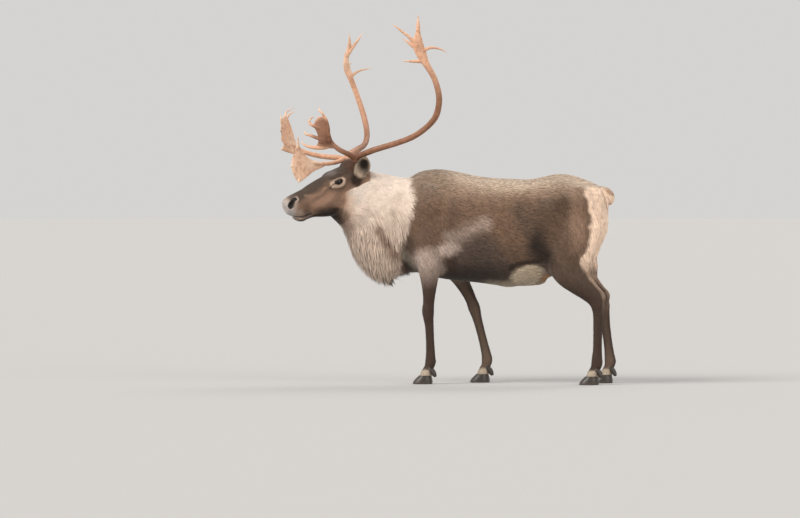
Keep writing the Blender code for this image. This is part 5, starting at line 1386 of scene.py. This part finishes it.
def branchRows(points):
    return [list(fromPoll(*p[:3])) + [p[3], p[-1]] for p in points]


def bladeEdges(edges):
    return [(fromPoll(*a), fromPoll(*b)) for a, b in edges]


def branchLine(branches):  # places, ways, distance along and half width, close together along every branch
    total = []
    for rows in branches:
        path = curveThrough(branchRows(rows), 14)
        travelled = np.concatenate([[0], np.cumsum(np.linalg.norm(np.diff(path[:, :3], axis=0), axis=1))])
        for i, row in enumerate(path):
            total.append((*row[:3], *unitRows(stepAt(path, i)[None, :3])[0], travelled[i], row[3]))
    return np.array(total)


def makeAntler(name, hand, branches, palms):
    ahead, _ = facing()
    shells = [loft(tubeRings(curveThrough(branchRows(rows), 6), 26, ahead, True)) for rows in branches[:3]]
    shells += [tube(branchRows(rows), 16, steps=5) for rows in branches[3:]]
    shells += [plate(bladeEdges(edges), antlerSizes["palmThick"]) for edges in palms]
    obj = joinShells(name, shells + [stub(*burrFoot(hand), antlerSizes["coronet"], 32, 3)])
    remesh(obj, antlerSizes["voxel"], 3)
    mesh = obj.data
    points, normals = pointsOf(mesh), normalsOf(mesh)
    line = branchLine(branches)
    tree = KDTree(len(line))
    for i, row in enumerate(line):
        tree.insert(row[:3], i)
    tree.balance()
    nearest = line[[tree.find(p)[1] for p in points]]
    centres, ways, reach, width = nearest[:, :3], nearest[:, 3:6], nearest[:, 6], nearest[:, 7]
    fromFoot = gapTo(points, burrFoot(hand)[0])
    toTip = np.min([gapTo(points, fromPoll(*rows[-1][:3])) for rows in branches], axis=0)
    level = unitRows(np.cross(ways, (0.31, 0.9, 0.22)))
    away = points - centres
    angle = np.arctan2(dots(away, np.cross(ways, level)), dots(away, level))[:, 0]
    wander = wobble(points, 0.06, 41) * 0.9
    grooves = np.sin(angle * 7 + wander + reach * 6) * 0.6 + np.sin(angle * 13 + wander * 2 - reach * 9) * 0.4
    onBeam = fade(np.linalg.norm(away, axis=1) / width, 1.15, 1.7)
    strength = np.clip(width / 0.017, 0.2, 1.1) * soft(toTip, 0.01, 0.1) * onBeam
    lumps = wobble(points, 0.011, 42) * fade(fromFoot, 0.03, 0.16) * antlerSizes["lumps"]
    shift = grooves * antlerSizes["groove"] * strength + lumps - antlerSizes["relief"]
    setPoints(mesh, points + normals * shift[:, None])
    # painted shade over the left palm's hollow web: the blue mark darker there, and less of the paler bone
    palmShadeAt, palmShadeReach = antlerSizes["paintedPalmShade"]
    palmShade = fade(gapTo(points, fromPoll(*palmShadeAt)), palmShadeReach * 0.6, palmShadeReach)
    pale = np.clip(1 - toTip / antlerSizes["paleOver"][hand], 0, 1) * (1 - palmShade * 0.7)
    dark = np.maximum(fade(fromFoot, 0.02, 0.2), palmShade)
    setColour(mesh, "antlerMarks", np.stack([np.clip(0.5 + grooves * 0.5 * onBeam, 0, 1), pale, dark], 1))
    return obj


def makeBurrBeads(name, hand):  # the knobs of the coronet, set round a ring by nodes
    foot, axis = burrFoot(hand)
    radius, rise = antlerSizes["beadRing"]
    inputs = {
        "Radius": ("Float", radius),
        "Beads": ("Int", antlerSizes["beads"]),
        "Foot": ("Vector", tuple(foot + axis * rise)),
        "Turn": ("Rotation", tuple(axis.to_track_quat("Z", "Y").to_euler())),
        "Finish": ("Material", finishes["burrBone"]),
    }
    tree = bpy.data.node_groups.new(name, "GeometryNodeTree")
    tree.interface.new_socket("Geometry", in_out="OUTPUT", socket_type="NodeSocketGeometry")
    sockets = {}
    for title, (kind, _) in inputs.items():
        made = tree.interface.new_socket(title, in_out="INPUT", socket_type="NodeSocket" + kind)
        sockets[title] = made.identifier
    given = add(tree, "NodeGroupInput").outputs
    circle = add(tree, "GeometryNodeMeshCircle", Vertices=given["Beads"], Radius=given["Radius"])
    bead = add(tree, "GeometryNodeMeshIcoSphere", Radius=1.0, Subdivisions=2)
    vectors = {"data_type": "FLOAT_VECTOR"}
    sizes = add(tree, "FunctionNodeRandomValue", vectors, Min=antlerSizes["beadLeast"],
                Max=antlerSizes["beadMost"], Seed=7 + hand)
    stray = antlerSizes["beadStray"]
    wander = add(tree, "FunctionNodeRandomValue", vectors, Min=tuple(-s for s in stray), Max=stray,
                 Seed=17 + hand)
    moved = add(tree, "GeometryNodeSetPosition", Geometry=circle, Offset=wander)
    beads = add(tree, "GeometryNodeInstanceOnPoints", Points=moved, Instance=bead, Scale=sizes)
    turned = add(tree, "GeometryNodeTransform", Geometry=beads, Translation=given["Foot"],
                 Rotation=given["Turn"])
    real = add(tree, "GeometryNodeRealizeInstances", Geometry=turned)
    painted = add(tree, "GeometryNodeSetMaterial", Geometry=real, Material=given["Finish"])
    add(tree, "NodeGroupOutput", i0=painted)
    obj = place(name, np.zeros((0, 3)), [])
    knobs = obj.modifiers.new("knobs", "NODES")
    knobs.node_group = tree
    for title, (_, value) in inputs.items():
        knobs[sockets[title]] = value
    applyAll(obj)
    return obj


# eyes, hooves and dewclaws
eyeSizes = {
    "look": (0.22, 0.02),  # how far it turns forward and up from straight out
    "bulge": (0.0007, 0.0085),  # height and width of the clear front
    "iris": (0.0098, 0.0122),
    "pupil": (0.0062, 0.0034),
    "rimLift": 0.0024,  # the lids' rim over the ball
    "rimInset": 0.97,
    "rim": (0.0015, 0.0006),  # its thickness, and what the upper one has more
}


def makeEye(name, hand):  # a ball with a clear bulge at its front, the iris and the long pupil drawn on it
    centre, ball = eyeCentre(hand), headPose["eyeRadius"]
    forward, up = eyeSizes["look"]
    out = (flankAxis * hand + noseAxis * forward + crownAxis * up).normalized()
    level = (noseAxis - out * noseAxis.dot(out)).normalized()
    upright = out.cross(level)
    points, faces = egg(centre, (level, upright, out), [ball] * 3, 64, 40)
    away = points - np.array(centre)
    a, b = away @ np.array(level), away @ np.array(upright)
    front = away @ np.array(out) > 0
    radius = np.hypot(a, b)
    bulge, bulgeWide = eyeSizes["bulge"]
    rise = bulge * np.exp(-(radius / bulgeWide) ** 2) * front
    obj = place(name, points + away / ball * rise[:, None], faces)
    iris = fade(radius, *eyeSizes["iris"]) * front
    long, high = eyeSizes["pupil"]
    pupil = fade(np.hypot(a / long, b / high), 0.9, 1.15) * front
    setColour(obj.data, "eyeMarks", np.stack([iris, pupil, np.zeros(len(a))], 1))
    faceOutward(obj.data)
    return obj


def makeLids(name, hand):  # a dark moist rim round each opening, lying on the eye
    centre, middle = eyeCentre(hand), openingCentre(hand)
    along, out, above = lidOpening(hand)
    reach = headPose["eyeRadius"] + eyeSizes["rimLift"]
    wide, _, high = (size * eyeSizes["rimInset"] for size in skinSizes["opening"])
    count, sides = 64, 12
    rows = []
    for angle in turns(count):
        offset = middle - centre + along * wide * math.cos(angle) + above * high * math.sin(angle)
        flat = offset - out * offset.dot(out)
        rows.append(centre + flat + out * math.sqrt(max(reach ** 2 - flat.length_squared, 1e-8)))
    thick, more = eyeSizes["rim"]
    rings = []
    for k, spotOn in enumerate(rows):
        up = (spotOn - centre).normalized()
        across = (rows[(k + 1) % count] - rows[k - 1]).normalized().cross(up)
        size = thick + (more if (spotOn - centre).dot(above) > 0 else 0)
        rings.append([spotOn + across * size * math.cos(t) + up * size * 0.8 * math.sin(t)
                      for t in turns(sides)])
    return joinShells(name, [loft(rings, closed=True)])


hoofSizes = {
    "rings": [(0.0, -0.065, 0.035, 0.97), (0.0012, -0.066, 0.036, 1.0), (0.006, -0.066, 0.0375, 1.0),
              (0.014, -0.0625, 0.0375, 0.985), (0.024, -0.0548, 0.0362, 0.95), (0.034, -0.0445, 0.0335, 0.89),
              (0.041, -0.037, 0.0315, 0.835), (0.0447, -0.0345, 0.031, 0.82)],
    "width": 0.047,
    "cleft": 0.0035,
    "splay": 0.06,
    "sides": 40,
    "claw": [(0.016, 0.014, 0.09, 0.009), (0.032, 0.018, 0.076, 0.0118), (0.043, 0.0215, 0.061, 0.0112),
             (0.05, 0.024, 0.047, 0.0082), (0.0535, 0.0252, 0.039, 0.004),
             (0.054, 0.0255, 0.0368, 0.001)],
}
feet = {"FrontLeft": foreLeft, "FrontRight": foreRight, "HindLeft": hindLeft, "HindRight": hindRight}


def hoofShell(x, y, hand):
    rings = []
    for height, toe, heel, wide in hoofSizes["rings"]:
        middle, half = (toe + heel) / 2, (heel - toe) / 2
        ring = []
        for angle in turns(hoofSizes["sides"]):
            ahead, out = middle + half * math.cos(angle), math.sin(angle)
            bow = hoofSizes["width"] * wide * (0.9 * abs(out) ** 0.8 if out > 0 else 0.1 * abs(out))
            across = hoofSizes["cleft"] + hoofSizes["width"] * 0.1 + math.copysign(bow, out)
            ring.append((x + ahead, y + hand * (across - hoofSizes["splay"] * (ahead - heel)), height))
        rings.append(ring)
    return loft(rings)


def makeHoof(name, x, y):
    return joinShells(name, [hoofShell(x, y, hand) for hand in (1, -1)])


def makeDewclaws(name, x, y):
    shells = []
    for hand in (1, -1):
        rows = [(x + behind, y + hand * aside, height, size)
                for behind, aside, height, size in hoofSizes["claw"]]
        shells.append(tube(rows, 20, (0, 1, 0)))
    return joinShells(name, shells)


# the pieces
fleshNodes = ["torso", "neck", "head", "tail", "ear_left", "ear_right", "leg_front_left", "leg_front_right",
              "leg_hind_left", "leg_hind_right"]


def markSkin(obj, head):
    points, normals = pointsOf(obj.data), normalsOf(obj.data)
    setColour(obj.data, "hideColour", hideColour(points, normals))
    if head:
        a, s, c = headPlaces(points)
        lie = np.stack([a * 0.22, s, c], 1)
        moist = fade(nostrilShare(points), 0.9, 1.4) * soft(np.abs(s), 0.02, 0.03)
        moist = np.maximum(moist, nearLine(a, c, lipLine, 0.003, 0.007))
        moist = np.maximum(moist, fade(almondShare(points), 1.1, 1.25))
    else:
        lie = points * blendRows(np.array([(0.22, 1, 1)]), (1, 1, 0.22), legShare(points))
        moist = np.zeros(len(points))
    setMarks(obj.data, "lie", "FLOAT_VECTOR", lie)
    setMarks(obj.data, "moist", "FLOAT", moist)


bodySkin = makeBodySkin()
report(f"body skin, {len(bodySkin.data.polygons)} faces")
headSkin = makeHeadSkin()
report(f"head skin, {len(headSkin.data.polygons)} faces")
markSkin(bodySkin, False)
markSkin(headSkin, True)
report("markings")

# coat styles: sizes of one lock, how high it stands, and how its tone runs from root to tip
usualLock = {"rings": 2, "sink": 0.002, "ridge": 0.28, "uneven": 0.35, "dip": 0.8, "sheet": 0.78,
             "scatter": 0.1, "streak": 0.05, "tone": 0.08, "rootTone": 0.92, "tipTone": 1.06}
coatStyles = {name: {**usualLock, **style} for name, style in {
    "trunk": {"count": 40000, "length": 0.042, "width": 0.006, "lift": 0.0056, "root": 0.0006, "dip": 0.82,
              "scatter": 0.13, "sheet": 0.8, "tone": 0.12, "streak": 0.15, "sheetRegion": "trunk"},
    "neck": {"count": 22500, "length": 0.054, "width": 0.0058, "lift": 0.0066, "root": 0.0008, "ridge": 0.3,
             "scatter": 0.08, "sheet": 0.8, "tone": 0.05, "streak": 0.07, "rootTone": 0.93, "tipTone": 1.03,
             "sheetRegion": "neck"},
    "mane": {"count": 12000, "length": 0.088, "width": 0.0052, "lift": 0.0095, "root": 0.0012, "ridge": 0.3,
             "scatter": 0.07, "rings": 3, "dip": 0.55, "tone": 0.07, "streak": 0.1, "tipTone": 1.03,
             "sheetRegion": "neck", "fall": 0.15, "loose": 0.2},
    "leg": {"count": 19000, "length": 0.017, "width": 0.004, "lift": 0.0028, "root": 0.0004, "sink": 0.001,
            "uneven": 0.3, "tone": 0.09, "rootTone": 0.9, "tipTone": 1.08, "sheetRegion": "leg"},
    "head": {"count": 25000, "length": 0.0115, "width": 0.0025, "lift": 0.0021, "root": 0.0003, "sink": 0.0008,
             "uneven": 0.3, "streak": 0.06, "sheetRegion": "head"},
    "ear": {"count": 4200, "length": 0.0105, "width": 0.0017, "lift": 0.0017, "root": 0.0002, "sink": 0.0005,
            "ridge": 0.25, "uneven": 0.3, "scatter": 0.12, "dip": 0.75, "sheet": 0.72, "tone": 0.09,
            "rootTone": 0.88, "tipTone": 1.1, "sheetRegion": "ear"},
    "tail": {"count": 2200, "length": 0.036, "width": 0.0052, "lift": 0.008, "root": 0.001, "ridge": 0.3,
             "scatter": 0.15, "rings": 3, "dip": 0.55, "sheet": 0.55, "rootTone": 0.9,
             "sheetRegion": "trunk"}}.items()}
less = 1

skinOfBody, skinOfHead = indexSkin(bodySkin), indexSkin(headSkin, bodySkin)
report("skins indexed")


def bodyWeights():
    middles = skinOfBody["middles"]
    keep = fade(aheadOfNape(middles), 0.004, 0.01)
    leg = legShare(middles)
    neckness = fade(middles[:, 0], -0.27, -0.17) * (1 - leg)
    tail = tailShare(middles)
    mane = maneShare(middles) * (1 - leg)
    hoofTop = soft(middles[:, 2], 0.046, 0.052)
    return {"trunk": keep * (1 - leg) * (1 - neckness) * (1 - tail),
            "neck": keep * neckness * (1 - mane * 0.75),
            "mane": keep * mane, "leg": leg * hoofTop, "tail": tail * soft(middles[:, 2], 0.976, 0.99)}


def headWeights():
    middles = skinOfHead["middles"]
    a, s, c = headPlaces(middles)
    keep = soft(aheadOfNape(middles), -0.022, -0.014)
    ear = np.zeros(len(middles))
    for hand in (1, -1):
        share, off = earPlaces(middles, hand)
        ear = np.maximum(ear, (share > 0.06) * (off < 0.056))
        keep *= soft(gapTo(middles, burrFoot(hand)[0]), 0.022, 0.026)
    ahead = middles - np.array(noseAxis) * 0.006  # locks there would lie over the eye
    keep *= soft(almondShare(middles), 1.36, 1.5) * soft(almondShare(ahead), 1.2, 1.36)
    keep *= soft(pathGap(a, c, tearLine), 0.003, 0.005) * soft(pathGap(a, c, lipLine), 0.0035, 0.005)
    keep *= np.maximum(soft(nostrilShare(middles), 1.05, 1.3), np.abs(s) < 0.022)
    fine = 1 + 1.3 * soft(a, 0.2, 0.34)
    return {"head": keep * (1 - ear) * fine, "ear": keep * ear}


def sizeAt(region, roots):  # how long a lock is at each root, against its style's length
    x, y, z = roots.T
    if region == "head":
        a = headPlaces(roots)[0]
        size = (1 - 0.5 * soft(a, 0.12, 0.34)) * (1 + 0.9 * fade(a, -0.02, 0.08))
        for hand in (1, -1):
            size *= 1 - 0.45 * fade(gapTo(roots, eyeCentre(hand)), 0.028, 0.05)
        return size
    if region in ("neck", "mane"):
        return 1 - 0.5 * soft(pastEdge(*flankPlaces(roots), neckEdge), -0.09, -0.01)
    if region == "leg":
        return 0.75 + 0.6 * soft(z, 0.3, 0.62)
    if region == "trunk":
        return 1 - 0.3 * soft(z, 0.98, 1.12) - 0.25 * fade(z, 0.6, 0.7)
    return np.ones(len(roots))


def growCoat(region, skin, weights, seed):
    style = dict(coatStyles[region])
    roots, normals = scatterRoots(skin, style["count"] // less, weights, seed)
    style["scale"] = sizeAt(region, roots)
    return growTufts(skin, style, roots, normals, seed + 1)


bodyShare, headShare = bodyWeights(), headWeights()
coat = []
for number, region in enumerate(("trunk", "neck", "mane", "leg", "tail", "head", "ear")):
    onHead = region in ("head", "ear")
    grown = growCoat(region, skinOfHead if onHead else skinOfBody, (headShare if onHead else bodyShare)[region],
                     100 + number * 10)
    made = coatPieces("coat" + region.capitalize(), grown)
    coat += [(obj, region) for obj in made]
    report(f"{region} coat, {grown['count']} locks in {len(made)}")

dress(bodySkin, "shortFur", [n for n in fleshNodes if n not in ("head", "ear_left", "ear_right")])
dress(headSkin, "shortFur", ["head", "ear_left", "ear_right"])
for obj, region in coat:
    dress(obj, "guardHair", smooth=False)

antlerNodes = {"Left": ["base", "bez", "beam", "crown"], "Right": ["base", "bez", "beam", "crown", "brow"]}
branchesOf = {"Left": [leftBeam, leftBez] + leftCrownTines + leftBezTines,
              "Right": [rightBeam, rightBez, rightBrow] + rightCrownTines + rightBezTines + shovelTines}
palmsOf = {"Left": [leftPalm], "Right": [rightPalm, shovel]}
for side, hand in (("Left", 1), ("Right", -1)):
    antler = makeAntler("antler" + side, hand, branchesOf[side], palmsOf[side])
    dress(antler, "antlerBone", [f"antler_{side.lower()}_{part}" for part in antlerNodes[side]])
    dress(makeBurrBeads("burrBeads" + side, hand), "burrBone")
    dress(makeEye("eye" + side, hand), "wetEye", [f"eye_{side.lower()}"])
    dress(makeLids("lid" + side, hand), "lidSkin")
report("antlers and eyes")

for name, leg in feet.items():
    x, y = leg[-1][:2]
    node = "hoof_" + ("front_" if "Front" in name else "hind_") + ("left" if "Left" in name else "right")
    dress(makeHoof("hoof" + name, x, y), "hoofHorn", [node + "_inner", node + "_outer"])
    dress(makeDewclaws("dewclaws" + name, x, y), "hoofHorn")
report("hooves")

# studio: a pale floor under a pale even sky, a soft key from the upper front, a fill and a rim from behind
studio = {
    "floor": (60.0, -0.0004),  # radius and height, just under the hooves
    "lights": {  # where it shines from, softness in degrees, strength, colour
        "key": ((-0.75, -0.7, 0.85), 34, 2.85, "#fffaf3"),
        "fill": ((0.95, -0.6, 0.45), 40, 1.05, "#fff8f0"),
        "rim": ((0.35, 0.85, 0.8), 30, 0.9, "#fff7ee"),
    },
    "lampReach": 6,
    "world": ("#edecea", 0.78),
}


def makeFloor():
    count = 96
    reach, drop = studio["floor"]
    ring = [(reach * math.cos(angle), reach * math.sin(angle), drop) for angle in turns(count)]
    obj = place("studioFloor", ring, [tuple(range(count))])
    obj.data.materials.append(finishes["studioFloor"])
    return obj


staged = [makeFloor()]
for name, (spotAt, softness, strength, code) in studio["lights"].items():
    lamp = bpy.data.lights.new(name, "SUN")
    lamp.angle, lamp.energy = math.radians(softness), strength
    lamp.color = tuple(linear(code))
    light = bpy.data.objects.new(name, lamp)
    light.location = Vector(spotAt) * studio["lampReach"]
    light.rotation_euler = Vector(spotAt).to_track_quat("Z", "Y").to_euler()
    bpy.context.scene.collection.objects.link(light)
    staged.append(light)

world = bpy.data.worlds.new("paleRoom")
world.use_nodes = True
backing = world.node_tree.nodes["Background"]
backing.inputs[0].default_value = paint(studio["world"][0])
backing.inputs[1].default_value = studio["world"][1]
bpy.context.scene.world = world
bpy.context.scene.view_settings.view_transform = "Standard"

# camera: a long lens, 8 degrees toward the rear and just above level, as in the photo
viewPoint = {"azimuth": 8.0, "elevation": 1.2, "distance": 36.0, "lens": 300.0, "sensor": 36.0,
             "screen": (-0.248, 0.67)}


def makeCamera():
    turn, rise = math.radians(viewPoint["azimuth"]), math.radians(viewPoint["elevation"])
    across, height = viewPoint["screen"]
    target = Vector((across * math.cos(turn), across * math.sin(turn), height)) + toRow
    back = Vector((math.sin(turn) * math.cos(rise), -math.cos(turn) * math.cos(rise), math.sin(rise)))
    data = bpy.data.cameras.new("camera")
    data.lens, data.sensor_width = viewPoint["lens"], viewPoint["sensor"]
    data.clip_start, data.clip_end = 1.0, 200.0
    camera = bpy.data.objects.new("camera", data)
    camera.location = target + back * viewPoint["distance"]
    camera.rotation_euler = (-back).to_track_quat("-Z", "Y").to_euler()
    bpy.context.scene.collection.objects.link(camera)
    bpy.context.scene.camera = camera


makeCamera()
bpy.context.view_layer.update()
report("done")
